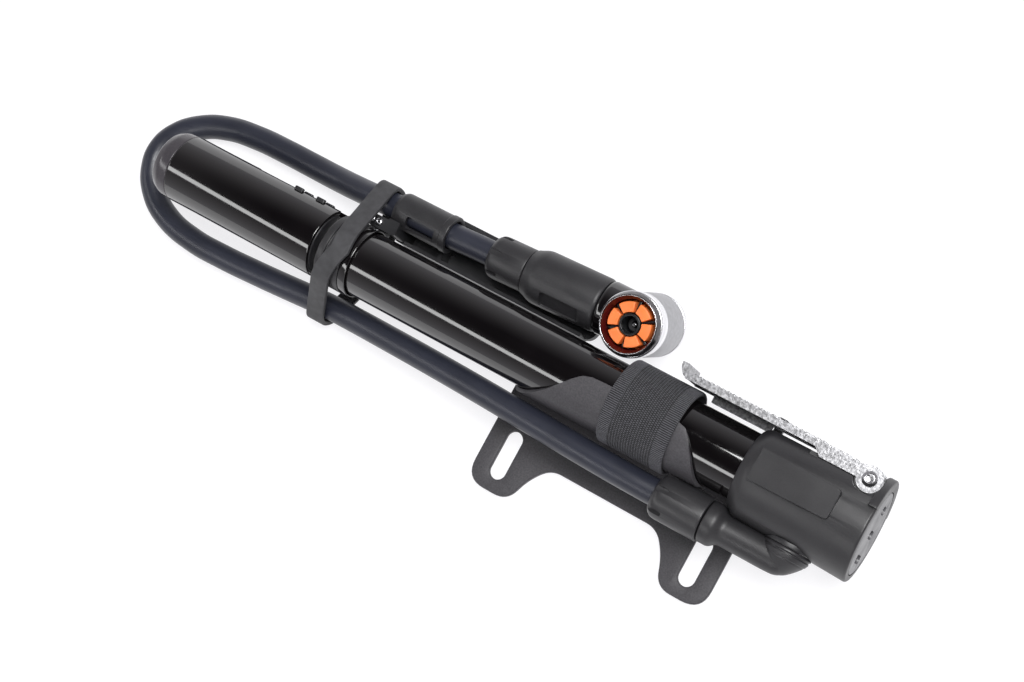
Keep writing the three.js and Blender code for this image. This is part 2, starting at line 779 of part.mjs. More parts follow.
// ---- rubber band round the collar and both runs of the hose ----
// The convex outline, in Y and Z, round circles given as [y, z, radius].
function bandOutline(circles, offset) {
  const points = [];
  for (const [y, z, r] of circles) {
    for (let i = 0; i < 32; i++) {
      const a = (2 * Math.PI * i) / 32;
      points.push([y + (r + offset) * Math.cos(a), z + (r + offset) * Math.sin(a)]);
    }
  }
  points.sort((p, q) => p[0] - q[0] || p[1] - q[1]);
  const turn = (o, p, q) => (p[0] - o[0]) * (q[1] - o[1]) - (p[1] - o[1]) * (q[0] - o[0]);
  const half = (list) => {
    const chain = [];
    for (const p of list) {
      while (chain.length > 1 && turn(chain.at(-2), chain.at(-1), p) <= 1e-9) chain.pop();
      chain.push(p);
    }
    return chain.slice(0, -1);
  };
  return [...half(points), ...half([...points].reverse())];
}

function buildBand() {
  const circles = [
    [0, AXIS_Z, COLLAR_R],
    [-16.4, 5.8, HOSE_R],
    [-16.0, 6.7, HOSE_R],
    [19.65, 12, HOSE_R],
    [19.8, 13.8, HOSE_R],
  ];
  const thickness = 1.4;
  const clearance = 0.3;
  const outer = new THREE.Shape(bandOutline(circles, clearance + thickness).map(([y, z]) => V2(y, z)));
  outer.holes.push(new THREE.Path(bandOutline(circles, clearance).map(([y, z]) => V2(y, z))));
  const width = 6;
  const geometry = new THREE.ExtrudeGeometry(outer, { depth: width, bevelEnabled: false });
  // The outline's own X and Y become the part's Y and Z, and the depth becomes X.
  const position = geometry.attributes.position;
  const lean = (y) => (y < 0 ? -0.42 * Math.abs(y) : -0.16 * y);
  for (let i = 0; i < position.count; i++) {
    const y = position.getX(i);
    const z = position.getY(i);
    position.setXYZ(i, -99.3 + position.getZ(i) + lean(y), y, z);
  }
  add(pump, "rubber_band", geometry, bandRubber);
}

// ---- pump head with its transverse chuck ----
const head = new THREE.Group();
head.position.copy(HEAD_START);
head.rotation.set(HEAD_ROLL, 0, HEAD_YAW, "ZXY");
pump.add(head);

function buildHead() {
  add(head, "head_union_nut", notchedNut(0, HEAD_NUT_LENGTH, NUT_BORE, 6), moulded);
  const chuckClear = rod("z", CHUCK_R + GAP, [-CUT, CUT], [CHUCK_X, 0], 32);
  const window = box([20.1, 32.8], [-HEAD_BODY_R - 1, -HEAD_BODY_R + 0.9], [-2.6, 2.6]);
  window.rotateX(-0.85);
  const body = turned(
    [
      [NUT_BORE, HEAD_BODY_START],
      [6.9, HEAD_BODY_START],
      [7.2, HEAD_BODY_START + 0.6],
      [HEAD_BODY_R, HEAD_BODY_START + 3],
      [HEAD_BODY_R, HEAD_BODY_END - 0.8],
      [HEAD_BODY_R - 0.5, HEAD_BODY_END],
      [NUT_BORE, HEAD_BODY_END],
      [NUT_BORE, HEAD_BODY_START],
    ],
    28,
    "x",
  );
  add(head, "head_body", cut(body, window), moulded);
  const spigot = turned(ringProfile(1.6, NUT_BORE - GAP, 0.6, HEAD_BODY_END - 0.6), 14, "x");
  add(head, "head_spigot", spigot, satinAluminium);
  const ring = turned(
    [
      [NUT_BORE, HEAD_BODY_END + GAP],
      [7.9, HEAD_BODY_END + GAP],
      [8.1, HEAD_BODY_END + 0.8],
      [7.8, CHUCK_X - 4.4],
      [NUT_BORE, CHUCK_X - 4.4],
      [NUT_BORE, HEAD_BODY_END + GAP],
    ],
    28,
    "x",
  );
  add(head, "head_end_ring", cut(ring, chuckClear), glossBlack);
}

function buildChuck() {
  const chuck = new THREE.Group();
  chuck.position.x = CHUCK_X;
  head.add(chuck);
  const bore = 8.3;
  const shellStart = -10.8;
  const shell = turned(
    [
      [3, shellStart],
      [CHUCK_R - 0.2, shellStart],
      [CHUCK_R, shellStart + 0.3],
      [CHUCK_R, CHUCK_SHOULDER - 0.3],
      [CHUCK_R - 0.3, CHUCK_SHOULDER],
      [bore, CHUCK_SHOULDER],
      [bore, -3],
      [3, -3],
      [3, shellStart],
    ],
    32,
    "z",
  );
  const port = rod("x", 1.6, [-CUT, 0], [0, -6], 10);
  add(chuck, "chuck_shell", cut(shell, port), satinAluminium);
  add(
    chuck,
    "chuck_back_cap",
    turned(
      [
        [0, CHUCK_BACK],
        [8.4, CHUCK_BACK],
        [CHUCK_R - 0.1, CHUCK_BACK + 0.6],
        [CHUCK_R - 0.1, shellStart - GAP],
        [2.7, shellStart - GAP],
        [2.7, -7.4],
        [0, -7.4],
      ],
      32,
      "z",
    ),
    satinAluminium,
  );
  const bezel = [
    [8, CHUCK_SHOULDER + 0.1],
    [CHUCK_R - 0.3, CHUCK_SHOULDER + 0.1],
    [8.4, CHUCK_NOSE],
    [8, CHUCK_NOSE],
    [8, CHUCK_SHOULDER + 0.1],
  ];
  add(chuck, "chuck_bezel", turned(bezel, 32, "z"), gunmetal);
  const liner = [
    [7.1, -2.7],
    [bore - 0.2, -2.7],
    [bore - 0.2, CHUCK_SHOULDER],
    [7.8, CHUCK_SHOULDER],
    [7.8, CHUCK_NOSE - 0.6],
    [7.1, CHUCK_NOSE - 2.4],
    [7.1, -2.7],
  ];
  add(chuck, "chuck_liner", turned(liner, 28, "z"), maroon);
  buildJaws(chuck);
  const hub = turned(ringProfile(2.4, 3.1, 5, 12.6), 14, "z");
  const spokes = [0, 1, 2].map((i) => {
    const bar = box([-6.9, 6.9], [-0.35, 0.35], [9.2, 10.8]).rotateZ((Math.PI * (i + 0.5)) / 3);
    return cut(bar, rod("z", 2.6, [0, CUT], [0, 0], 14));
  });
  add(chuck, "chuck_spider", join(hub, ...spokes), darkMoulded);
  add(chuck, "valve_grommet", turned(ringProfile(0.9, 2.1, -2.7, 7.4), 14, "z"), rubber);
  add(chuck, "valve_pin", rod("z", 0.6, [-2.5, 8.6], [0, 0], 10), steel);
}

// Six orange jaws that stand on one ring and slide down into the shell.
function buildJaws(chuck) {
  const ring = turned(ringProfile(3.5, 6.8, 2.6, 5.2), 28, "z");
  const posts = turned(ringProfile(3.5, 6.5, 5, 12.8, 0.3), 28, "z");
  const gap = () => box([-8, 8], [-0.75, 0.75], [5.2, CHUCK_NOSE]);
  const gaps = [0, 1, 2].map((i) => gap().rotateZ((Math.PI * (i + 0.5)) / 3));
  add(chuck, "chuck_jaws", join(ring, cut(posts, ...gaps)), orange);
}

function buildHose() {
  add(pump, "hose", tube(HOSE_ROUTE, HOSE_R, 8, 52), hoseRubber);
}

buildBarrel();
buildCollar();
buildBase();
buildFootPeg();
buildElbow();
buildRod();
buildHandle();
buildBracket();
buildHolder();
buildBand();
buildHead();
buildChuck();
buildHose();

export default pump;
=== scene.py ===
"""Looks of the mini floor pump. Lengths in this script are millimetres in the part's own frame;
they become metres where a mesh, curve, light or camera is made."""

import math

import bmesh
import bpy
from mathutils import Euler, Matrix, Vector


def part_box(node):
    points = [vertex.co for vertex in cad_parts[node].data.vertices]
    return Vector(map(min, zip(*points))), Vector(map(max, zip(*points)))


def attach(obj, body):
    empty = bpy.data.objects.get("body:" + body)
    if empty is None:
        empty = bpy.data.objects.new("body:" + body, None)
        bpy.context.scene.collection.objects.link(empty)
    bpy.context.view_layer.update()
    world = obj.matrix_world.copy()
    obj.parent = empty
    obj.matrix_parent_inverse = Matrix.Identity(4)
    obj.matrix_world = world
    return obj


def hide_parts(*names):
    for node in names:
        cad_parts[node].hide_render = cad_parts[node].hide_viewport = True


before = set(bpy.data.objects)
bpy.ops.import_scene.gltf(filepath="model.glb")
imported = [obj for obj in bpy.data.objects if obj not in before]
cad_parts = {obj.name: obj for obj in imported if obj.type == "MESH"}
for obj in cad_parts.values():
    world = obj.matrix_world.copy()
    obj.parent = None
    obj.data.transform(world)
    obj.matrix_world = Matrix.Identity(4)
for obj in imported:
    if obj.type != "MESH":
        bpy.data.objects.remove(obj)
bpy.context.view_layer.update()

MM = 0.001
SHARP = math.radians(35)


def span(node):
    """The lowest and highest corner of a CAD node, in millimetres."""
    return [Vector([c / MM for c in corner]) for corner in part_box(node)]


# ---- places taken from the frame ----
BARREL_LOW, BARREL_HIGH = span("barrel_tube")
AXIS_Z = (BARREL_LOW.z + BARREL_HIGH.z) / 2
BARREL_R = (BARREL_HIGH.z - BARREL_LOW.z) / 2
HANDLE_LOW, HANDLE_HIGH = span("handle_tube")
HANDLE_R = (HANDLE_HIGH.z - HANDLE_LOW.z) / 2
CAP_START = span("handle_end_cap")[0].x
COLLAR_START = span("top_collar")[0].x
COLLAR_END = span("top_collar")[1].x
BASE_END = span("base_body")[1].x
NUT_LOW, NUT_HIGH = span("base_union_nut")
NUT_R = (NUT_HIGH.z - NUT_LOW.z) / 2
SIDE_Y = (NUT_LOW.y + NUT_HIGH.y) / 2
RIVET_LOW, RIVET_HIGH = span("foot_peg_rivet")
RIVET_X = (RIVET_LOW.x + RIVET_HIGH.x) / 2
RIVET_Y = (RIVET_LOW.y + RIVET_HIGH.y) / 2
STRAP_LOW, STRAP_HIGH = span("strap")
STRAP_R = (STRAP_HIGH.z - STRAP_LOW.z) / 2
ELBOW_X = sum(corner.x for corner in span("elbow_swivel_ring")) / 2
HOSE_R = 3.9

BASE_START = 36.2
BASE_FLAT_Y = 12.1
BASE_LUG_X = 70.8
BASE_LUG_R = 15.6
EYE_R = 3.7
PEG_HALF = 7.4
HEAD_START = Vector((-60.5, 20.35, 14))
HEAD_YAW = math.radians(2)
HEAD_ROLL = math.radians(12)
CHUCK_X = 50
CHUCK_R = 9.4
CHUCK_BACK = -12.3
CHUCK_SHOULDER = 11.8
CHUCK_NOSE = 14
CHUCK_BORE = 8.3
JAWS = 6
CRADLE_R = 11.4
SLOT_X = 32
HOLDER = Vector((0, 19.8, 14))
SCREW_X = (-98.9, -96.3)
SCREW_Y = 13.2
PIVOT_X = -134.4
SLOT_HALF = 2.5

HOSE_ROUTE = [
    (17.3, -17.7, 20),
    (9, -17.7, 20),
    (-8, -17.4, 19.2),
    (-27, -16.8, 17.2),
    (-46, -16.3, 14.6),
    (-64, -16.0, 12.0),
    (-80, -15.9, 9.6),
    (-94, -15.9, 7.6),
    (-101, -16.0, 6.7),
    (-108, -16.3, 5.85),
    (-114, -16.7, 5.05),
    (-121, -17.2, 4.4),
    (-132, -17.9, 3.98),
    (-145, -18.5, 3.95),
    (-157, -18.4, 3.95),
    (-169, -16.1, 3.95),
    (-178, -10.9, 3.95),
    (-182.8, -4.2, 3.95),
    (-183.8, 2.2, 3.95),
    (-181, 8.6, 3.95),
    (-174.6, 14.2, 3.95),
    (-165.2, 18.1, 3.95),
    (-154, 19.7, 3.95),
    (-143, 20.0, 3.98),
    (-132, 19.9, 4.4),
    (-121, 19.7, 6.2),
    (-110, 19.6, 9.8),
    (-101.5, 19.7, 12.7),
    (-94, 19.8, 13.9),
    (-84, 19.8, 14),
    (-74, 19.8, 14),
    (-66, 20.15, 14),
    (-60.8, 20.3, 14),
]


# ---- camera ----
def build_camera():
    """Looks down on the pump from beyond its base end, turned so that it lies across the picture."""
    data = bpy.data.cameras.new("camera")
    data.lens = 61.76
    camera = bpy.data.objects.new("camera", data)
    bpy.context.scene.collection.objects.link(camera)
    place = Vector((132.2, -12.9, 489.1))
    target = Vector((-40.7, 0.4, 20))
    roll = math.radians(57.24)
    level = (target - place).to_track_quat("-Z", "Y").to_matrix().to_4x4()
    camera.matrix_world = Matrix.Translation(place * MM) @ level @ Matrix.Rotation(-roll, 4, "Z")
    data.clip_start = 0.01
    bpy.context.scene.camera = camera


build_camera()


# ---- node helpers for materials ----
class Maker:
    """A Principled material with its node tree at hand."""

    def __init__(self, name, color, roughness, metallic=0.0):
        self.material = bpy.data.materials.new(name)
        self.material.use_nodes = True
        self.tree = self.material.node_tree
        self.shader = self.tree.nodes["Principled BSDF"]
        self.shader.inputs["Metallic"].default_value = metallic
        self.color = color
        self.roughness = roughness
        self.texture = self.tree.nodes.new("ShaderNodeTexCoord")
        self.normal = None

    def link(self, source, target):
        self.tree.links.new(source, target)

    def scaled(self, stretch, source="Object"):
        mapping = self.tree.nodes.new("ShaderNodeMapping")
        mapping.inputs["Scale"].default_value = stretch
        self.link(self.texture.outputs[source], mapping.inputs["Vector"])
        return mapping.outputs["Vector"]

    def noise(self, scale, detail=3.0, stretch=(1, 1, 1), source="Object"):
        node = self.tree.nodes.new("ShaderNodeTexNoise")
        node.inputs["Scale"].default_value = scale
        node.inputs["Detail"].default_value = detail
        self.link(self.scaled(stretch, source), node.inputs["Vector"])
        return node.outputs["Fac"]

    def ramp(self, value, low, high, start=0.3, end=0.7):
        """A number that goes from low to high as the value goes from start to end."""
        node = self.tree.nodes.new("ShaderNodeMapRange")
        node.inputs["From Min"].default_value = start
        node.inputs["From Max"].default_value = end
        node.inputs["To Min"].default_value = low
        node.inputs["To Max"].default_value = high
        self.link(value, node.inputs["Value"])
        return node.outputs["Result"]

    def tint(self, value, dark, light, start=0.3, end=0.7):
        """A base colour between the dark and the light multiple of the material's colour."""
        mix = self.tree.nodes.new("ShaderNodeMix")
        mix.data_type = "RGBA"
        mix.inputs["A"].default_value = (*[c * dark for c in self.color], 1)
        mix.inputs["B"].default_value = (*[min(1, c * light) for c in self.color], 1)
        self.link(self.ramp(value, 0, 1, start, end), mix.inputs["Factor"])
        self.link(mix.outputs["Result"], self.shader.inputs["Base Color"])

    def gloss(self, value, spread):
        low = max(0.02, self.roughness - spread)
        self.link(self.ramp(value, low, self.roughness + spread), self.shader.inputs["Roughness"])

    def bump(self, height, strength, depth):
        """Raises the surface by up to depth millimetres where the height is high."""
        node = self.tree.nodes.new("ShaderNodeBump")
        node.inputs["Strength"].default_value = strength
        node.inputs["Distance"].default_value = depth * MM
        self.link(height, node.inputs["Height"])
        if self.normal is not None:
            self.link(self.normal, node.inputs["Normal"])
        self.normal = node.outputs["Normal"]
        self.link(self.normal, self.shader.inputs["Normal"])

    def set(self, **values):
        for name, value in values.items():
            self.shader.inputs[name.replace("_", " ")].default_value = value
        return self


def gloss_black():
    m = Maker("gloss_black", (0.0035, 0.0028, 0.0032), 0.08)
    cloud = m.noise(55, 2)
    m.tint(cloud, 0.8, 1.3)
    m.gloss(m.noise(160, 4, (1, 3, 3)), 0.03)
    m.bump(m.noise(900, 2), 0.04, 0.01)
    m.set(IOR=1.85)
    return m.material


def grained(name, color, roughness, grain, depth, mottle=0.12):
    """A moulding with a spark-eroded grain."""
    m = Maker(name, color, roughness)
    fine = m.noise(grain, 4)
    m.tint(fine, 1 - mottle, 1 + mottle)
    m.gloss(m.noise(140, 3), 0.06)
    m.bump(fine, 0.5, depth)
    return m.material


def band_rubber():
    m = Maker("band_rubber", (0.038, 0.038, 0.041), 0.62)
    dust = m.noise(420, 5)
    m.tint(dust, 0.8, 1.3)
    m.gloss(m.noise(90, 3), 0.07)
    m.bump(m.noise(2400, 3), 0.3, 0.03)
    return m.material


def hose_rubber():
    m = Maker("hose_rubber", (0.019, 0.021, 0.032), 0.38)
    m.tint(m.noise(70, 3), 0.85, 1.2)
    m.gloss(m.noise(260, 4, (0.3, 2, 2)), 0.05)
    m.bump(m.noise(500, 3, (0.15, 1, 1)), 0.08, 0.03)
    return m.material


def webbing():
    """Threads with painted sheen on their raised parts and painted shade in the gaps between them."""
    m = Maker("webbing", (0.03, 0.03, 0.034), 0.85)
    weave = m.tree.nodes.new("ShaderNodeAttribute")
    weave.attribute_name = "weave"
    fuzz_and_thread_shade = m.tree.nodes.new("ShaderNodeMath")
    fuzz_and_thread_shade.operation = "MULTIPLY_ADD"
    fuzz_and_thread_shade.inputs[1].default_value = 0.5
    m.link(m.noise(1500, 3), fuzz_and_thread_shade.inputs[0])
    m.link(weave.outputs["Fac"], fuzz_and_thread_shade.inputs[2])
    # painted shade in the gaps between the threads and painted sheen on their raised tops, with a random fuzz
    m.tint(fuzz_and_thread_shade.outputs["Value"], 0.2, 3.4, 0.45, 1.25)
    m.bump(m.noise(5200, 2), 0.5, 0.05)
    m.gloss(m.noise(700, 2), 0.08)
    return m.material


def brushed(name, color, roughness, stretch, spread=0.08, depth=0.01):
    """A metal with fine lines along the direction in which the stretch is smallest."""
    m = Maker(name, color, roughness, 1.0)
    lines = m.noise(700, 4, stretch)
    m.tint(lines, 0.82, 1.12)
    m.gloss(lines, spread)
    m.bump(lines, 0.25, depth)
    return m.material


def stamped_steel():
    """Bright sheet with a coarse stamped relief, its raised points painted lighter as glints and its hollows
    painted darker as shade.
    """
    m = Maker("stamped_steel", (0.3, 0.3, 0.31), 0.42, 1.0)
    relief_and_glints = m.noise(1300, 3)
    # painted glints on the relief's raised points and painted shade in its hollows
    m.tint(relief_and_glints, 0.55, 1.6)
    m.gloss(m.noise(900, 3), 0.1)
    m.bump(relief_and_glints, 0.45, 0.14)
    return m.material


def orange_moulding():
    m = Maker("orange_moulding", (0.86, 0.2, 0.045), 0.42)
    m.tint(m.noise(260, 3), 0.88, 1.05)
    m.gloss(m.noise(400, 3), 0.08)
    m.bump(m.noise(1500, 3), 0.15, 0.02)
    return m.material


def maroon_moulding():
    m = Maker("maroon_moulding", (0.06, 0.004, 0.004), 0.26)
    m.tint(m.noise(300, 3), 0.7, 1.3)
    m.gloss(m.noise(350, 3), 0.06)
    m.bump(m.noise(1500, 2), 0.1, 0.02)
    return m.material


BLACK = gloss_black()
MOULDED = grained("moulded", (0.021, 0.0205, 0.0225), 0.42, 2600, 0.03)
DARK = grained("dark_moulded", (0.016, 0.016, 0.018), 0.42, 2200, 0.02)
HUB = grained("hub_moulding", (0.005, 0.006, 0.007), 0.3, 1800, 0.01)
CAP = grained("cap_moulding", (0.05, 0.046, 0.052), 0.22, 1800, 0.006)
# a lighter copy of the dark moulding: painted light where the table and side light fall on the base's end
# face
LIT_END_FACE = grained("lit_end_face", (0.1, 0.1, 0.108), 0.38, 2000, 0.02)
SEAL = grained("seal_rubber", (0.012, 0.012, 0.014), 0.55, 1500, 0.02)
BRACKET = grained("bracket_nylon", (0.042, 0.04, 0.045), 0.52, 2100, 0.07, 0.3)
BAND = band_rubber()
HOSE = hose_rubber()
WEB = webbing()
STEEL = brushed("bright_steel", (0.6, 0.6, 0.62), 0.26, (0.08, 1, 1), 0.06, 0.004)
ROD_METAL = brushed("rod_aluminium", (0.5, 0.5, 0.52), 0.28, (1, 0.1, 0.1), 0.05, 0.003)
CHUCK_METAL = brushed("chuck_satin", (0.4, 0.4, 0.415), 0.42, (1, 1, 1), 0.05)
CHUCK_BRIGHT = brushed("chuck_bright", (0.8, 0.8, 0.82), 0.24, (0.1, 0.1, 1), 0.04, 0.003)
BEZEL_METAL = brushed("gunmetal", (0.13, 0.125, 0.13), 0.2, (1, 1, 1), 0.03, 0.003)
STAMPED = stamped_steel()
ORANGE = orange_moulding()
MAROON = maroon_moulding()


# ---- mesh helpers ----
def link_object(name, data):
    obj = bpy.data.objects.new(name, data)
    bpy.context.scene.collection.objects.link(obj)
    return obj


def mesh_object(name, points, faces):
    mesh = bpy.data.meshes.new(name)
    mesh.from_pydata([[c * MM for c in p] for p in points], [], faces)
    body = bmesh.new()
    body.from_mesh(mesh)
    bmesh.ops.recalc_face_normals(body, faces=body.faces)
    body.to_mesh(mesh)
    body.free()
    return link_object(name, mesh)


def fillet(points, radius, steps=4, closed=False):
    """The polyline with each corner rounded; a radius is one number, or one for each point."""
    count = len(points)
    radii = radius if isinstance(radius, (list, tuple)) else [radius] * count
    points = [Vector(p) for p in points]
    out = []
    for i, corner in enumerate(points):
        at_end = not closed and i in (0, count - 1)
        if at_end or radii[i] <= 0:
            out.append(corner)
            continue
        before = points[i - 1] - corner
        after = points[(i + 1) % count] - corner
        reach = min(radii[i], before.length * 0.48, after.length * 0.48)
        start = corner + before.normalized() * reach
        end = corner + after.normalized() * reach
        for k in range(steps + 1):
            t = k / steps
            out.append((1 - t) ** 2 * start + 2 * t * (1 - t) * corner + t * t * end)
    return out


def lathe(name, profile, axis="x", round_off=0.3, segments=96, closed=False):
    """A solid of revolution from (radius, height) points, open ones starting and ending on the axis."""
    profile = fillet(profile, round_off, closed=closed)
    points = []
    rings = []
    for radius, height in profile:
        if radius < 1e-6:
            rings.append([len(points)])
            points.append((0, 0, height))
            continue
        rings.append(list(range(len(points), len(points) + segments)))
        for k in range(segments):
            a = 2 * math.pi * k / segments
            points.append((radius * math.cos(a), radius * math.sin(a), height))
    faces = []
    last = len(rings) if closed else len(rings) - 1
    for i in range(last):
        low, high = rings[i], rings[(i + 1) % len(rings)]
        for k in range(segments):
            n = (k + 1) % segments
            if len(low) == 1:
                faces.append((low[0], high[n], high[k]))
            elif len(high) == 1:
                faces.append((low[k], low[n], high[0]))
            else:
                faces.append((low[k], low[n], high[n], high[k]))
    if axis == "x":
        points = [(z, x, y) for x, y, z in points]
    if axis == "y":
        points = [(y, z, x) for x, y, z in points]
    return mesh_object(name, points, faces)


def ring(name, bore, radius, start, end, axis="x", round_off=0.3, segments=96):
    profile = [(bore, start), (radius, start), (radius, end), (bore, end)]
    return lathe(name, profile, axis, round_off, segments, closed=True)


def disc(name, radius, start, end, axis="x", round_off=0.3, segments=64):
    return lathe(name, [(0, start), (radius, start), (radius, end), (0, end)], axis, round_off, segments)


def between(name, low, high):
    """A solid between two closed loops that have the same number of points."""
    count = len(low)
    sides = [(i, (i + 1) % count, count + (i + 1) % count, count + i) for i in range(count)]
    caps = [tuple(reversed(range(count))), tuple(range(count, 2 * count))]
    return mesh_object(name, low + high, sides + caps)


def prism(name, outline, low, high):
    """An outline of (x, y) points raised from low to high."""
    return between(name, [(p[0], p[1], low) for p in outline], [(p[0], p[1], high) for p in outline])


def block(name, x, y, z, edge=0.0):
    """A box, with its upright edges rounded when an edge radius is given."""
    outline = [(x[0], y[0]), (x[1], y[0]), (x[1], y[1]), (x[0], y[1])]
    if edge > 0:
        outline = fillet(outline, edge, closed=True)
    return prism(name, outline, z[0], z[1])


def move(obj, offset=(0, 0, 0), turn=None):
    """Turns the mesh about the origin, then moves it by an offset in millimetres."""
    matrix = Matrix.Translation(Vector(offset) * MM)
    if turn is not None:
        matrix = matrix @ turn.to_4x4()
    obj.data.transform(matrix)
    return obj


def applied(obj):
    """Makes the object's modifiers part of its mesh."""
    graph = bpy.context.evaluated_depsgraph_get()
    graph.update()
    mesh = bpy.data.meshes.new_from_object(obj.evaluated_get(graph))
    obj.modifiers.clear()
    obj.data = mesh
    return obj


def combine(obj, operation, tools):
    for tool in tools:
        modifier = obj.modifiers.new("combine", "BOOLEAN")
        modifier.operation = operation
        modifier.solver = "EXACT"
        modifier.object = tool
        applied(obj)
        bpy.data.objects.remove(tool)
    return obj


def join(obj, *tools):
    return combine(obj, "UNION", tools)


def cut(obj, *tools):
    return combine(obj, "DIFFERENCE", tools)


def soften(obj, width, segments=2, angle=40):
    """Rounds the edges that are sharper than the angle."""
    modifier = obj.modifiers.new("soften", "BEVEL")
    modifier.width = width * MM
    modifier.segments = segments
    modifier.limit_method = "ANGLE"
    modifier.angle_limit = math.radians(angle)
    modifier.use_clamp_overlap = True
    modifier.miter_outer = "MITER_ARC"
    return applied(obj)


def piece(obj, body, slot, material, *nodes):
    """Shades a piece smoothly, gives it its material, and puts it on its body in place of CAD nodes."""
    obj.data.materials.clear()
    obj.data.materials.append(material)
    obj.data.shade_smooth()
    obj.data.set_sharp_from_angle(angle=SHARP)
    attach(obj, body)
    if nodes:
        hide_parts(*nodes)
    return obj


def lifted(obj):
    """From the pump's own axis to its place above the table."""
    return move(obj, (0, 0, AXIS_Z))


# ---- hose ----
def build_hose():
    curve = bpy.data.curves.new("hose_tube", "CURVE")
    curve.dimensions = "3D"
    spline = curve.splines.new("BEZIER")
    spline.bezier_points.add(len(HOSE_ROUTE) - 1)
    for point, place in zip(spline.bezier_points, HOSE_ROUTE):
        point.co = Vector(place) * MM
        point.handle_left_type = "AUTO"
        point.handle_right_type = "AUTO"
    spline.resolution_u = 8
    curve.bevel_depth = HOSE_R * MM
    curve.bevel_resolution = 9
    curve.use_fill_caps = True
    hose = link_object("hose_tube", curve)
    curve.materials.append(HOSE)
    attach(hose, "barrel")
    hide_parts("hose")


# ---- barrel, collar and handle ----
def build_barrel():
    tube = ring("barrel_shell", 8.8, BARREL_R, BARREL_LOW.x, BARREL_HIGH.x, round_off=0.4, segments=144)
    piece(lifted(tube), "barrel", "anodised_black", BLACK, "barrel_tube")


def build_collar():
    inner = BARREL_R + 0.3
    step = COLLAR_START + 4.9
    profile = [
        (5.9, COLLAR_START),
        (10.5, COLLAR_START),
        (10.8, COLLAR_START + 0.5),
        (10.8, COLLAR_START + 2.4),
        (10.25, COLLAR_START + 2.5),
        (10.25, COLLAR_START + 3.0),
        (11, COLLAR_START + 3.2),
        (11, COLLAR_END - 2.6),
        (inner, COLLAR_END - 2.6),
        (inner, step),
        (5.9, step),
    ]
    collar = lathe("collar", profile, round_off=0.25, closed=True)
    # the moulded collar's skirt beside the band takes the barrel's gloss black: painted shade where the
    # band's shadow falls
    skirt = ring("collar_skirt", inner, 10.85, COLLAR_END - 2.5, COLLAR_END, round_off=0.45, segments=128)
    piece(lifted(skirt), "barrel", "moulded", BLACK)
    lug = block("lug", (-100.2, -94.4), (7, 14.6), (-9, -5.4), 1)
    cut(lug, disc("lug_bore", 10.7, -120, -80, segments=96))
    cut(lug, *[move(disc("bore", 1, -12, 0, "z"), (x, SCREW_Y, 0)) for x in SCREW_X])
    soften(lug, 0.3)
    piece(lifted(collar), "barrel", "moulded", MOULDED, "top_collar")
    piece(lifted(lug), "barrel", "moulded", MOULDED)


def build_handle():
    tube = ring("handle_shell", 9.5, HANDLE_R, HANDLE_LOW.x, HANDLE_HIGH.x, round_off=0.35, segments=144)
    cut(tube, block("slot", (-139.2, -101), (0, 30), (-SLOT_HALF, SLOT_HALF)))
    piece(lifted(tube), "handle", "anodised_black", BLACK, "handle_tube")

    liner = disc("handle_core", 9.3, -148, HANDLE_HIGH.x + 0.2, round_off=0.4, segments=96)
    cut(
        liner,
        block("slot", (-139.2, -101), (-4.8, 30), (-SLOT_HALF, SLOT_HALF)),
        move(disc("bore", 1.5, -30, 30, "z"), (PIVOT_X, 0, 0)),
    )
    soften(liner, 0.15)
    piece(lifted(liner), "handle", "dark_moulded", DARK, "handle_liner")

    build_lips()
    build_cap()


def build_lips():
    """Two pairs of lips that stand up on either side of the handle's slot."""
    half_long = 1.5
    half_wide = 0.75
    for index, x in enumerate((-122, -113.9)):
        for side, letter in ((-1, "a"), (1, "b")):
            z = side * 3.4
            lip = block("lip", (x - half_long, x + half_long), (9.6, 11.15), (z - half_wide, z + half_wide))
            soften(lip, 0.35, 3)
            lip.name = f"handle_lip_{index + 1}{letter}"
            piece(lifted(lip), "handle", "dark_moulded", DARK)


def build_cap():
    start = CAP_START
    joint = HANDLE_LOW.x
    profile = [
        (0, start),
        (7.6, start + 0.1),
        (9.4, start + 0.9),
        (10.45, start + 3.2),
        (10.6, joint - 0.15),
        (9.3, joint - 0.1),
        (9.3, joint + 8),
        (7.8, joint + 8),
        (7.8, joint),
        (0, joint),
    ]
    cap = lathe("handle_cap", profile, round_off=[0, 1.2, 0.6, 0.7, 0.3, 0.1, 0.2, 0.2, 0.2, 0], segments=128)
    piece(lifted(cap), "handle", "moulded", CAP, "handle_end_cap")


def build_rod():
    rod = disc("rod_bar", 4, -104.1, 30.2, round_off=0.2, segments=64)
    piece(lifted(rod), "rod", "satin_aluminium", ROD_METAL, "piston_rod")
    half = 4.2
    root = -104.2
    steps = 24
    outline = [(root, -half), (root, half), (PIVOT_X, half)]
    for k in range(1, steps):
        a = math.pi / 2 + math.pi * k / steps
        outline.append((PIVOT_X + half * math.cos(a), half * math.sin(a)))
    outline.append((PIVOT_X, -half))
    blade = prism("rod_blade", outline, -2, 2)
    cut(blade, move(disc("bore", 1.6, -9, 9, "z"), (PIVOT_X, 0, 0)))
    soften(blade, 0.25)
    piece(lifted(blade), "rod", "steel", STEEL, "rod_end_blade")


# ---- base ----
def outlet_room():
    narrow = 4.7
    profile = [(0, 30), (6.5, 30), (6.5, 37.2), (narrow, 39.4), (narrow, ELBOW_X), (0, ELBOW_X)]
    return move(lathe("room", profile, round_off=0), (0, SIDE_Y, 0))


def thumb_pad():
    """A raised tongue along the top that grows out of the base towards its end."""
    start = 40
    side_shift = 1.7
    root_z = 9
    top_z = 13.3
    rise = 0.078
    corners = [0, 1.1, 1.1, 0]
    low = fillet([(start, -4.75), (64.3, -4.35), (64.3, 4.35), (start, 4.75)], corners, closed=True)
    high = fillet([(start, -4.65), (63.5, -4.25), (63.5, 4.25), (start, 4.65)], corners, closed=True)
    root = [(p[0], p[1], root_z) for p in low]
    top = [(p[0], p[1], top_z + rise * (p[0] - start)) for p in high]
    return move(between("pad", root, top), (0, side_shift, 0))


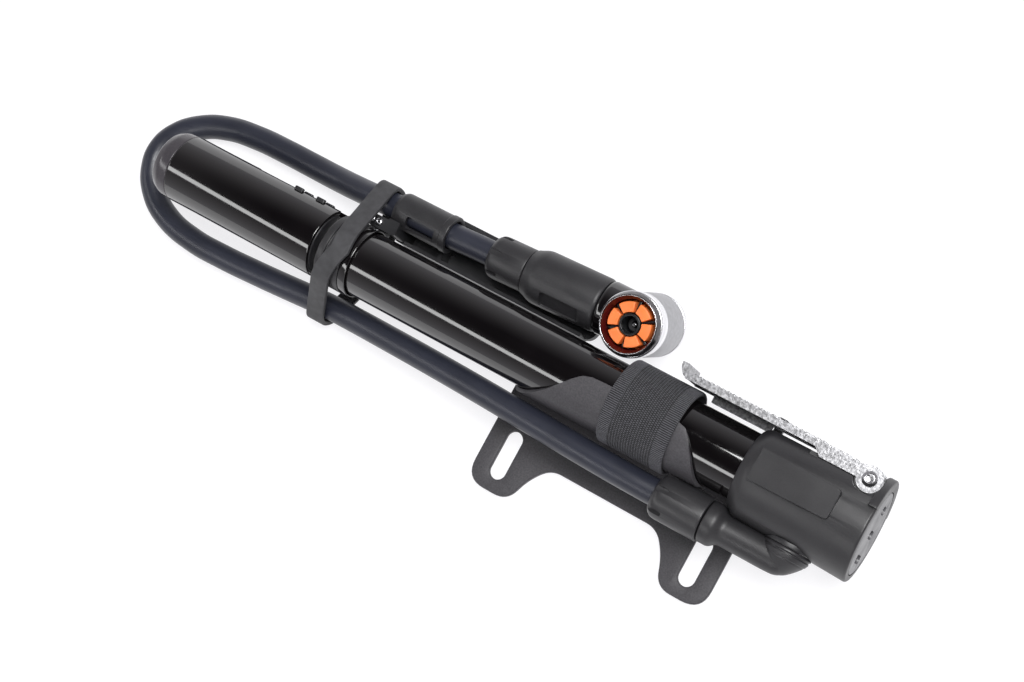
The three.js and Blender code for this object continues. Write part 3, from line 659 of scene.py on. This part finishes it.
def build_base():
    profile = [
        (0, BASE_START),
        (11.4, BASE_START),
        (13.3, BASE_START + 3),
        (14.45, BASE_END - 0.5),
        (14.1, BASE_END),
        (0, BASE_END),
    ]
    body = lathe("base_shell", profile, round_off=[0, 0.5, 1.2, 0.3, 0.3, 0], segments=128)
    lug = disc("lug", BASE_LUG_R, BASE_LUG_X, BASE_END, round_off=0.5, segments=128)
    cut(lug, block("keep", (60, 80), (-30, 6), (-30, 30)))
    boss_half = 5.8
    boss = move(disc("boss", 3.3, -boss_half, boss_half, "z", 0), (RIVET_X, RIVET_Y, 0))
    web = block("web", (RIVET_X - 3.3, BASE_LUG_X + 0.5), (8, RIVET_Y), (-boss_half, boss_half))
    seat = move(disc("seat", 7, -12, -8, "y", 0), (ELBOW_X, 0, 0))
    catch = block("catch", (BASE_START - 0.4, BASE_START + 2.2), (8, 16.9), (-9.6, -7.9), 0.4)
    top_pocket = block("pocket", (50, BASE_LUG_X), (10.9, 40), (boss_half + 0.1, 40))
    low_pocket = block("pocket", (50, BASE_LUG_X), (10.9, 40), (-40, -boss_half - 0.1))
    rounds = [
        move(disc("round", EYE_R + 0.6, low, high, "z", 0), (RIVET_X, RIVET_Y, 0))
        for low, high in ((boss_half + 0.1, 40), (-40, -boss_half - 0.1))
    ]
    cut(body, block("flat", (BASE_START - 1, BASE_LUG_X), (BASE_FLAT_Y, 40), (-40, 40)))
    cut(body, move(disc("room", 7.4, -40, -12, "y", 0), (ELBOW_X, 0, 0)), outlet_room())
    join(body, lug, boss, web, seat, catch, thumb_pad())
    cut(
        body,
        top_pocket,
        low_pocket,
        *rounds,
        move(disc("bore", 1.5, -30, 30, "z", 0), (RIVET_X, RIVET_Y, 0)),
        disc("bore", BARREL_R + 0.3, BASE_START - 1, 46, round_off=0, segments=128),
        disc("chamber", 5, 45, 60.5, round_off=0),
        move(disc("bore", 4.2, -40, 0, "y", 0), (ELBOW_X, 0, 0)),
        disc("plate_seat", 12.4, 71.8, BASE_END + 1, round_off=0, segments=128),
    )
    soften(body, 0.28, 3, 32)
    piece(lifted(body), "barrel", "moulded", MOULDED, "base_body")

    plate = disc("base_plate", 12.15, 72.1, BASE_END, round_off=0.25, segments=128)
    marks = []
    turn = Matrix.Rotation(math.pi / 2, 3, "Y")
    for y, half in ((6.9, 2.6), (-0.3, 3.1), (-7.5, 3.6)):
        mark = block("mark", (-half, half), (-1.25, 1.25), (-0.8, 3), 1.2)
        marks.append(move(mark, (BASE_END, y, 0), turn))
    cut(plate, *marks)
    soften(plate, 0.15, 2)
    # the end plate takes the lighter copy of the moulding: painted light on the end face
    piece(lifted(plate), "barrel", "dark_moulded", LIT_END_FACE, "base_end_plate")


def peg_outline():
    outline = [(10.8, 13.4), (50.6, 13.4), (53, 11.3)]
    start = math.asin(1 / EYE_R) - math.pi
    for k in range(37):
        a = start + (1.9 - start) * k / 36
        outline.append((RIVET_X + EYE_R * math.cos(a), RIVET_Y + EYE_R * math.sin(a)))
    outline += [(RIVET_X - 4.4, 14.9), (RIVET_X - 5.4, 15.5), (10.8, 15.5)]
    return outline


def build_foot_peg():
    """A folded steel channel: a serrated outer face between two flanges that end in the rivet's eyes."""
    half = PEG_HALF
    sheet = 1.2
    flanges = [prism("flange", peg_outline(), low, low + sheet) for low in (half - sheet, -half)]
    peg = block("foot_bar", (10.9, RIVET_X - 5.4), (14.75, 15.5), (-half, half))
    tongue = [
        (11.6, 13.4),
        (11.6, 15.5),
        (10.9, 15.8),
        (10.4, 16.6),
        (10.3, 17.5),
        (8.3, 17.4),
        (8.5, 15.9),
        (9.8, 14),
    ]
    curl = prism("curl", fillet(tongue, [0, 0, 1.2, 0.8, 0.3, 0.3, 1.6, 1.2], closed=True), -half, half)
    low_lip = block("low_lip", (17.2, BASE_START - 0.5), (11.5, 13.8), (-half, sheet - half), 0.4)
    join(peg, *flanges, curl, low_lip)
    cut(peg, move(disc("bore", 1.6, -9, 9, "z", 0), (RIVET_X, RIVET_Y, 0)))
    soften(peg, 0.22, 2, 35)
    piece(lifted(peg), "foot", "steel", STAMPED, "foot_peg")
    build_peg_teeth()
    build_peg_rivet()


def build_peg_teeth():
    """Uneven stamped ridges across the peg's outer face."""
    half = PEG_HALF
    first = 13.2
    pitch = 1.7
    for index in range(24):
        x = first + index * pitch
        wide = 0.38 + 0.12 * math.sin(2.3 * index)
        tooth = block("tooth", (x - wide, x + wide), (15.2, 15.75), (0.3 - half, half - 0.15))
        soften(tooth, 0.22, 2)
        tooth.name = f"foot_grip_{index + 1:02d}"
        piece(lifted(tooth), "foot", "steel", STAMPED)


def build_peg_rivet():
    face = PEG_HALF + 0.15
    profile = [
        (0, -face - 0.9),
        (1.2, -face - 0.85),
        (2.1, -face - 0.3),
        (2.1, -face),
        (1.35, -face),
        (1.35, face),
        (2.1, face),
        (2.1, face + 0.3),
        (1.2, face + 0.85),
        (0.9, face + 0.6),
        (0, face + 0.55),
    ]
    rivet = lathe("foot_rivet", profile, "z", 0.2, 48)
    move(rivet, (RIVET_X, RIVET_Y, 0))
    piece(lifted(rivet), "barrel", "steel", STEEL, "foot_peg_rivet")


# ---- elbow and union nuts ----
def union_nut(name, start, end, notches=6):
    profile = [
        (3.5, start),
        (NUT_R - 1.1, start),
        (NUT_R - 0.15, start + 1.2),
        (NUT_R, start + 2.4),
        (NUT_R, end),
        (3.5, end),
    ]
    nut = lathe(name, profile, round_off=0.5, closed=True)
    for i in range(notches):
        tool = block("notch", (start - 1, start + 4.6), (-0.85, 0.85), (NUT_R - 0.8, NUT_R + 2), 0.7)
        cut(nut, move(tool, turn=Matrix.Rotation(2 * math.pi * (i + 0.25) / notches - math.pi / 2, 3, "X")))
    return soften(nut, 0.22, 2, 38)


def build_elbow():
    head = lathe(
        "elbow_body",
        [
            (0, 13.55),
            (6.7, 13.55),
            (6.95, 14.1),
            (6.95, 14.5),
            (6.55, 14.65),
            (6.5, 14.95),
            (6.75, 15.2),
            (6.2, 16.4),
            (5.9, 16.5),
            (5.75, 16.95),
            (4.1, 18.9),
            (2.2, 20.7),
            (0, 21.6),
        ],
        "y",
        [0, 0.3, 0.2, 0.15, 0.15, 0.15, 0.3, 0.2, 0.2, 0.6, 1.4, 1.6, 0],
    )
    move(head, (ELBOW_X, 0, 0), Matrix.Rotation(math.pi, 3, "X"))
    outlet = lathe(
        "outlet",
        [
            (0, 18.8),
            (3.2, 18.8),
            (3.2, 33.2),
            (6.15, 33.2),
            (6.15, 36.4),
            (4.4, 38.5),
            (4.4, 51.5),
            (4.2, 56),
            (2.6, 58.6),
            (0, 59.6),
        ],
        "x",
        [0, 0.2, 0.2, 0.4, 0.9, 0.9, 3, 2, 1.5, 0],
    )
    move(outlet, (0, SIDE_Y, 0))
    stem = move(disc("stem", 3.2, SIDE_Y, -7, "y", 0), (ELBOW_X, 0, 0))
    join(head, outlet, stem)
    soften(head, 0.5, 3, 38)
    piece(lifted(head), "barrel", "moulded", MOULDED, "hose_elbow")

    swivel = ring("swivel_collar", 3.3, 7.2, -13.52, -12.05, "y", 0.3)
    move(swivel, (ELBOW_X, 0, 0))
    piece(lifted(swivel), "barrel", "dark_moulded", DARK, "elbow_swivel_ring")

    nut = union_nut("base_hose_nut", NUT_LOW.x, NUT_HIGH.x)
    move(nut, (0, SIDE_Y, 0))
    piece(lifted(nut), "barrel", "moulded", MOULDED, "base_union_nut")


# ---- bracket and strap ----
def bracket_outline():
    half = SLOT_X + 7.9
    right = [
        (half, 8),
        (half, -41),
        (SLOT_X - 6.4, -41),
        (SLOT_X - 9.4, -32.6),
        (SLOT_X - 14, -26.7),
    ]
    radii = [3, 6.5, 6, 4, 6]
    left = [(-x, y) for x, y in reversed(right)]
    return fillet(right + left, radii + radii[::-1], steps=8, closed=True)


def bolt_slot(x):
    outline = []
    for centre, start in ((-24.4, 0), (-34.5, math.pi)):
        for k in range(17):
            a = start + math.pi * k / 16
            outline.append((x + 2.6 * math.cos(a), centre + 2.6 * math.sin(a)))
    return prism("slot", outline, -5, 8)


def level_at(knots, x):
    """The value at x on straight lines between (x, value) knots."""
    for (x0, v0), (x1, v1) in zip(knots, knots[1:]):
        if x <= x1:
            t = (x - x0) / (x1 - x0)
            return v0 + (v1 - v0) * t
    return knots[-1][1]


CRADLE_EDGE = [
    (-34, 104),
    (-30.5, 82),
    (-26.5, 61),
    (-21.6, 37),
    (-15.7, 5),
    (-13.6, -4),
    (-11, -8.4),
    (-6, -9.6),
    (16.5, -9.6),
    (18.6, -7),
    (20.4, 4),
    (22, 16),
    (23.6, 29),
    (25.4, 52),
    (26.8, 72),
    (27.5, 92),
]


def build_cradle():
    """The thin shell that wraps the barrel's side and bottom, with a swept upper edge."""
    columns = [-34 + 61.5 * i / 96 for i in range(97)]
    rows = 40
    bottom = math.radians(218)
    inner = BARREL_R + 0.25
    points = []
    for radius in (inner, CRADLE_R):
        for x in columns:
            top = math.radians(level_at(CRADLE_EDGE, x))
            for k in range(rows + 1):
                a = top + (bottom - top) * k / rows
                points.append((x, -radius * math.sin(a), radius * math.cos(a)))
    wide = rows + 1
    layer = wide * len(columns)
    faces = []
    for i in range(len(columns) - 1):
        for k in range(rows):
            a = i * wide + k
            quad = (a, a + 1, a + wide + 1, a + wide)
            faces.append(quad)
            faces.append(tuple(layer + v for v in reversed(quad)))
        for k in (0, rows):
            a = i * wide + k
            faces.append((a, a + wide, a + wide + layer, a + layer))
    for i in (0, len(columns) - 1):
        for k in range(rows):
            a = i * wide + k
            faces.append((a, a + 1, a + 1 + layer, a + layer))
    shell = lifted(mesh_object("cradle_shell", points, faces))
    tool = disc("notch", NUT_R + 0.6, 17.4, 40, segments=96)
    cut(shell, move(tool, (0, SIDE_Y, AXIS_Z)))
    soften(shell, 0.3, 2, 50)
    return piece(shell, "barrel", "bracket_plastic", BRACKET)


def build_bracket():
    plate = prism("bracket_plate", bracket_outline(), 0, 2)
    cut(plate, bolt_slot(-SLOT_X), bolt_slot(SLOT_X))
    soften(plate, 0.4, 3, 45)
    piece(plate, "barrel", "bracket_plastic", BRACKET, "cage_bracket")
    foot = block("bracket_foot", (-30, 25), (-6, 6), (1.7, 12), 1)
    room = 0.5
    strap_room = ring(
        "room", CRADLE_R - 0.4, STRAP_R + 0.3, STRAP_LOW.x - room, STRAP_HIGH.x + room, round_off=0
    )
    barrel_room = disc("bore", BARREL_R + 0.6, -60, 60, round_off=0, segments=128)
    cut(foot, lifted(barrel_room), lifted(strap_room))
    soften(foot, 0.3)
    piece(foot, "barrel", "bracket_plastic", BRACKET)
    build_cradle()


def build_strap():
    """Woven webbing: a basket-weave middle between ribbed selvedges, closed round barrel and cradle."""
    low, high = STRAP_LOW.x, STRAP_HIGH.x
    selvedge = 3.6
    around = 528
    across = 104
    column = 0.8
    inner = CRADLE_R + 0.25
    outer = STRAP_R - 0.12
    points = []
    weave = []
    for i in range(across + 1):
        x = low + (high - low) * i / across
        edge = min(x - low, high - x)
        roll_off = 0.35 * max(0.0, 1 - edge / 0.7) ** 2
        phase = 0 if edge < selvedge or int((x - low) / column) % 2 else math.pi
        crossing = abs(math.sin(math.pi * (x - low) / column)) if edge > selvedge else 1.0
        for k in range(around):
            a = 2 * math.pi * k / around
            thread = (0.5 + 0.5 * math.cos(2 * math.pi * k / 4 + phase)) * (0.35 + 0.65 * crossing)
            weave.append(thread)
            r = outer + 0.2 * (thread - 0.5) - roll_off
            points.append((x, r * math.cos(a), r * math.sin(a)))
    for x in (high, low):
        for k in range(around):
            a = 2 * math.pi * k / around
            weave.append(0.5)
            points.append((x, inner * math.cos(a), inner * math.sin(a)))
    rings = len(points) // around
    faces = []
    for i in range(rings):
        j = (i + 1) % rings
        for k in range(around):
            n = (k + 1) % around
            faces.append((i * around + k, i * around + n, j * around + n, j * around + k))
    strap = lifted(mesh_object("strap_web", points, faces))
    # the thread heights, stored as weave, also drive the webbing's painted shade and sheen
    strap.data.attributes.new("weave", "FLOAT", "POINT").data.foreach_set("value", weave)
    piece(strap, "barrel", "webbing", WEB, "strap")


# ---- hose holder ----
def build_holder():
    floor_low, floor_high = 1.8, 3.2
    bore = HOSE_R + 0.5
    outline = [(-93, 10.9), (-24.4, 10.9), (-24.4, 26), (-93, 26)]
    outline = fillet(outline, [1, 4.5, 4.5, 1], 8, closed=True)
    tray = prism("holder_tray", outline, floor_low, floor_high)
    rim = prism("rim", outline, floor_low, 4.4)
    well = [(-91.8, 12.1), (-25.6, 12.1), (-25.6, 24.8), (-91.8, 24.8)]
    well = fillet(well, [1, 3.8, 3.8, 1], 8, closed=True)
    cut(rim, prism("well", well, 0, 9))
    side = block("side", (-93, -27), (10.9, 12), (floor_low, 9.4), 0.5)
    ends = [block("end", (x, x + 1.2), (10.9, 17), (floor_low, 9.4), 0.4) for x in (-93, -78.2)]
    legs = [block("leg", x, (15, 24.6), (floor_low, 12), 0.8) for x in ((-92, -87.5), (-80.5, -76))]
    link = block("link", (-94, -90), (11.3, 15.6), (floor_low, 18), 0.6)
    arm = block("arm", (-100.2, -91), (11.3, 15), (14.9, 18), 0.8)
    join(tray, rim, side, *ends, *legs, link, arm)
    screws = [move(disc("bore", 1, 0, 40, "z", 0), (x, SCREW_Y, 0)) for x in SCREW_X]
    cut(tray, *screws, move(disc("bore", bore, -100, -70, round_off=0), HOLDER))
    soften(tray, 0.25, 2, 35)
    piece(tray, "barrel", "dark_moulded", DARK, "hose_holder")

    low, high = -94.1, -74.8
    profile = [
        (bore, low),
        (4.9, low),
        (5.5, low + 1.2),
        (5.55, high - 2.3),
        (5.8, high - 2.1),
        (5.8, high),
        (bore, high),
    ]
    sleeve = lathe("holder_sleeve", profile, round_off=0.35, closed=True)
    turn = Matrix.Rotation(0.63, 3, "X")
    window = block("window", (-88.7, -78.7), (-2, 2), (3, 8), 0.9)
    cut(sleeve, move(window, turn=turn))
    soften(sleeve, 0.2, 2, 38)
    move(sleeve, HOLDER)
    piece(sleeve, "barrel", "dark_moulded", MOULDED)

    profile = [
        (0, -8.6),
        (0.8, -8.6),
        (0.8, -1.9),
        (1.1, -1.9),
        (1.1, -1.5),
        (0.6, -1.2),
        (0.45, -1.4),
        (0, -1.4),
    ]
    for index, x in enumerate(SCREW_X):
        screw = lathe(f"arm_screw_{index + 1}", profile, "z", 0.12, 32)
        move(screw, (x, SCREW_Y, 0))
        piece(lifted(screw), "barrel", "steel", STEEL, f"holder_screw_{index + 1}")


# ---- rubber band ----
def convex(points):
    points = sorted(points)

    def chain(ordered):
        out = []
        for p in ordered:
            while len(out) > 1:
                (ax, ay), (bx, by) = out[-2], out[-1]
                if (bx - ax) * (p[1] - ay) - (by - ay) * (p[0] - ax) > 1e-9:
                    break
                out.pop()
            out.append(p)
        return out[:-1]

    return chain(points) + chain(points[::-1])


def evenly(loop, count):
    """The same closed loop with evenly spaced points, its bends a little softened."""
    lengths = [(loop[(i + 1) % len(loop)] - p).length for i, p in enumerate(loop)]
    total = sum(lengths)
    out = []
    i = 0
    walked = 0.0
    for k in range(count):
        goal = total * k / count
        while walked + lengths[i] < goal:
            walked += lengths[i]
            i += 1
        t = (goal - walked) / lengths[i]
        out.append(loop[i].lerp(loop[(i + 1) % len(loop)], t))
    for _ in range(2):
        out = [(out[k - 1] + 2 * p + out[(k + 1) % count]) / 4 for k, p in enumerate(out)]
    return out


def build_band():
    """A stretched loop round the collar and both runs of the hose."""
    thickness = 1.4
    gap = 0.3
    half = 3.05
    rounding = 0.35
    circles = [
        (0, AXIS_Z, 11),
        (-16.4, 5.8, HOSE_R),
        (-16.0, 6.7, HOSE_R),
        (19.65, 12, HOSE_R),
        (19.8, 13.8, HOSE_R),
    ]
    dots = []
    for y, z, r in circles:
        for k in range(120):
            a = 2 * math.pi * k / 120
            dots.append((y + (r + gap) * math.cos(a), z + (r + gap) * math.sin(a)))
    path = evenly([Vector(p) for p in convex(dots)], 260)
    section = fillet([(-half, 0), (half, 0), (half, thickness), (-half, thickness)], rounding, 4, closed=True)
    count = len(path)
    points = []
    for i, p in enumerate(path):
        along = (path[(i + 1) % count] - path[i - 1]).normalized()
        outward = Vector((along.y, -along.x))
        centre = -96.3 - (0.42 * abs(p.x) if p.x < 0 else 0.16 * p.x)
        for across, out in section:
            q = p + outward * out
            points.append((centre + across, q.x, q.y))
    wide = len(section)
    faces = []
    for i in range(count):
        j = (i + 1) % count
        for k in range(wide):
            n = (k + 1) % wide
            faces.append((i * wide + k, i * wide + n, j * wide + n, j * wide + k))
    band = mesh_object("hose_band", points, faces)
    piece(band, "barrel", "band_rubber", BAND, "rubber_band")


# ---- pump head and chuck ----
HEAD_TURN = Euler((HEAD_ROLL, 0, HEAD_YAW), "YXZ").to_matrix()


def on_head(obj, along=0.0):
    """From the head's own axis, some way along it, to its place on the pump."""
    return move(obj, HEAD_START + HEAD_TURN @ Vector((along, 0, 0)), HEAD_TURN)


def build_head():
    nut = union_nut("head_hose_nut", 0, 12.4)
    piece(on_head(nut), "barrel", "moulded", MOULDED, "head_union_nut")

    profile = [(3.5, 12.7), (6.9, 12.7), (7.2, 13.6), (8.2, 16), (8.2, 36.4), (7.8, 37.1), (3.5, 37.1)]
    rounds = [0.2, 0.2, 0.6, 1.6, 0.5, 0.3, 0.2]
    body = lathe("head_shell", profile, round_off=rounds, segments=128, closed=True)
    window = block("window", (20.1, 32.8), (-2.7, 2.7), (7.1, 12), 1)
    cut(body, move(window, turn=Matrix.Rotation(math.pi / 2 - 0.85, 3, "X")))
    soften(body, 0.2, 2, 40)
    piece(on_head(body), "barrel", "moulded", MOULDED, "head_body")

    profile = [(3.5, 37.4), (7.8, 37.4), (8.1, 38.2), (7.9, 45.5), (3.5, 45.5)]
    collar = lathe("head_collar", profile, round_off=0.3, closed=True)
    cut(collar, move(disc("room", CHUCK_R + 0.3, -40, 40, "z", 0, 128), (CHUCK_X, 0, 0)))
    piece(on_head(collar), "barrel", "anodised_black", BLACK, "head_end_ring")


def wedge(centre, low, high):
    """A jaw: a block between two arcs that is narrower outside than the space it stands in."""
    steps = 10
    inner, outer = 3.45, 6.45
    outline = []
    for k in range(steps + 1):
        a = centre + math.radians(23) * (2 * k / steps - 1)
        outline.append((outer * math.cos(a), outer * math.sin(a)))
    for k in range(steps + 1):
        a = centre + math.radians(26) * (1 - 2 * k / steps)
        outline.append((inner * math.cos(a), inner * math.sin(a)))
    return prism("wedge", outline, low, high)


def build_chuck_case():
    """The bright band, the satin body behind it and the cap at the back."""
    bore = CHUCK_BORE
    shoulder = CHUCK_SHOULDER
    waist = 6.8
    profile = [
        (bore, waist),
        (CHUCK_R, waist),
        (CHUCK_R, shoulder - 0.35),
        (CHUCK_R - 0.3, shoulder),
        (bore, shoulder),
    ]
    band = lathe("chuck_bright_band", profile, "z", 0.15, 144, closed=True)
    piece(on_head(band, CHUCK_X), "barrel", "satin_aluminium", CHUCK_BRIGHT)

    start = -9.4
    profile = [
        (3, start),
        (CHUCK_R - 0.2, start),
        (CHUCK_R - 0.1, start + 0.3),
        (CHUCK_R - 0.1, waist - 0.05),
        (bore, waist - 0.05),
        (bore, -3),
        (3, -3),
    ]
    shell = lathe("chuck_body", profile, "z", 0.15, 144, closed=True)
    piece(on_head(shell, CHUCK_X), "barrel", "satin_aluminium", CHUCK_METAL, "chuck_shell")

    profile = [
        (0, CHUCK_BACK),
        (8.6, CHUCK_BACK),
        (CHUCK_R - 0.05, CHUCK_BACK + 0.7),
        (CHUCK_R - 0.05, start - 0.2),
        (2.7, start - 0.2),
        (2.7, -7.4),
        (0, -7.4),
    ]
    cap = lathe("chuck_cap", profile, "z", [0, 0.4, 0.3, 0.2, 0.2, 0.2, 0], 144)
    piece(on_head(cap, CHUCK_X), "barrel", "satin_aluminium", CHUCK_BRIGHT, "chuck_back_cap")


def build_chuck_nose():
    """The dark nose cone with a thin bright ring at its rim that paints the rim's edge highlight, and the
    maroon cup inside it.
    """
    nose = CHUCK_NOSE
    shoulder = CHUCK_SHOULDER
    profile = [
        (8.05, shoulder + 0.1),
        (CHUCK_R - 0.35, shoulder + 0.1),
        (CHUCK_R - 0.4, shoulder + 0.7),
        (8.4, nose - 0.1),
        (8.05, nose - 0.1),
    ]
    bezel = lathe("chuck_nose", profile, "z", 0.25, 144, closed=True)
    piece(on_head(bezel, CHUCK_X), "barrel", "gunmetal", BEZEL_METAL, "chuck_bezel")
    # a thin bright metal ring on the gunmetal rim: a painted edge highlight
    rim = ring("chuck_rim_glint", 8.02, 8.22, nose - 0.3, nose + 0.02, "z", 0.08, 144)
    piece(on_head(rim, CHUCK_X), "barrel", "gunmetal", CHUCK_BRIGHT)

    wall = CHUCK_BORE - 0.15
    profile = [
        (7.1, -2.7),
        (wall, -2.7),
        (wall, shoulder),
        (7.95, shoulder + 0.1),
        (7.95, nose - 0.35),
        (7.1, nose - 2.2),
    ]
    liner = lathe("chuck_cup", profile, "z", 0.2, 128, closed=True)
    piece(on_head(liner, CHUCK_X), "barrel", "maroon", MAROON, "chuck_liner")


def build_chuck_inside():
    """Six jaws on one ring, the hub and its spokes between them, and the valve's seal and pin."""
    step = 2 * math.pi / JAWS
    jaws = ring("jaws", 3.5, 6.8, 2.6, 5.2, "z", 0.2, 96)
    join(jaws, *[soften(wedge(step * i, 4.6, 12.8), 0.38, 3, 50) for i in range(JAWS)])
    piece(on_head(jaws, CHUCK_X), "jaws", "orange", ORANGE, "chuck_jaws")

    hub = ring("chuck_hub", 2.4, 3.15, 5, 12.6, "z", 0.25, 64)
    piece(on_head(hub, CHUCK_X), "barrel", "dark_moulded", HUB, "chuck_spider")
    for i in range(JAWS):
        spoke = block("spoke", (3.1, 6.95), (-0.35, 0.35), (9.2, 10.8))
        soften(spoke, 0.15, 2)
        move(spoke, turn=Matrix.Rotation(step * (i + 0.5), 3, "Z"))
        spoke.name = f"chuck_spoke_{i + 1}"
        piece(on_head(spoke, CHUCK_X), "barrel", "dark_moulded", HUB)

    grommet = ring("valve_seal", 0.95, 2.15, -2.7, 7.4, "z", 0.3, 48)
    piece(on_head(grommet, CHUCK_X), "barrel", "seal_rubber", SEAL, "valve_grommet")
    pin = disc("valve_needle", 0.6, -2.5, 8.6, "z", 0.25, 32)
    piece(on_head(pin, CHUCK_X), "barrel", "steel", STEEL, "valve_pin")


# ---- CAD nodes that stay, with better materials ----
def dress_kept_nodes():
    kept = {
        "rod_bush": DARK,
        "rod_seal": SEAL,
        "bump_stop": SEAL,
        "base_seal_ring": SEAL,
        "check_valve_disc": SEAL,
        "check_valve_spring": STEEL,
        "elbow_o_ring": SEAL,
        "head_spigot": ROD_METAL,
        "piston_head": DARK,
        "piston_seal": SEAL,
        "handle_pivot_pin": STEEL,
    }
    for name, material in kept.items():
        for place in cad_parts[name].material_slots:
            place.material = material


# ---- floor and light ----
def build_stage():
    size = 4000
    corners = [(-size, -size, -0.1), (size, -size, -0.1), (size, size, -0.1), (-size, size, -0.1)]
    floor = mesh_object("floor", corners, [(0, 1, 2, 3)])
    m = Maker("lit_table", (0.22, 0.22, 0.222), 0.7)
    m.tint(m.noise(3, 3), 0.97, 1.0)
    m.set(Emission_Color=(0.985, 0.98, 1, 1), Emission_Strength=0.8)
    floor.data.materials.append(m.material)
    build_sky()
    area_light("key", (350, 350, 1300), (0, 0, 0), (0.7, 0.7), 23)
    area_light("strip", (-500, -950, 1150), (0, 0, 0), (3.2, 0.26), 12)


def build_sky():
    """Dark straight above, where the camera hangs, and paler towards the horizon."""
    world = bpy.data.worlds.new("studio")
    world.use_nodes = True
    tree = world.node_tree
    place = tree.nodes.new("ShaderNodeTexCoord")
    parts = tree.nodes.new("ShaderNodeSeparateXYZ")
    ramp = tree.nodes.new("ShaderNodeValToRGB")
    tree.links.new(place.outputs["Generated"], parts.inputs["Vector"])
    tree.links.new(parts.outputs["Z"], ramp.inputs["Fac"])
    tree.links.new(ramp.outputs["Color"], tree.nodes["Background"].inputs["Color"])
    stops = ramp.color_ramp.elements
    stops[0].position = 0.0
    stops[0].color = (0.55, 0.54, 0.57, 1)
    stops[1].position = 0.9
    stops[1].color = (0.015, 0.014, 0.016, 1)
    middle = stops.new(0.5)
    middle.color = (0.3, 0.29, 0.3, 1)
    bpy.context.scene.world = world


def area_light(name, place, target, size, power):
    data = bpy.data.lights.new(name, "AREA")
    data.shape = "RECTANGLE"
    data.size, data.size_y = size
    data.energy = power
    light = link_object(name, data)
    aim = (Vector(target) - Vector(place)).to_track_quat("-Z", "Y").to_matrix().to_4x4()
    light.matrix_world = Matrix.Translation(Vector(place) * MM) @ aim


bpy.context.scene.view_settings.view_transform = "Standard"
build_hose()
build_stage()
build_barrel()
build_collar()
build_handle()
build_rod()
build_base()
build_foot_peg()
build_elbow()
build_bracket()
build_strap()
build_holder()
build_band()
build_head()
build_chuck_case()
build_chuck_nose()
build_chuck_inside()
dress_kept_nodes()
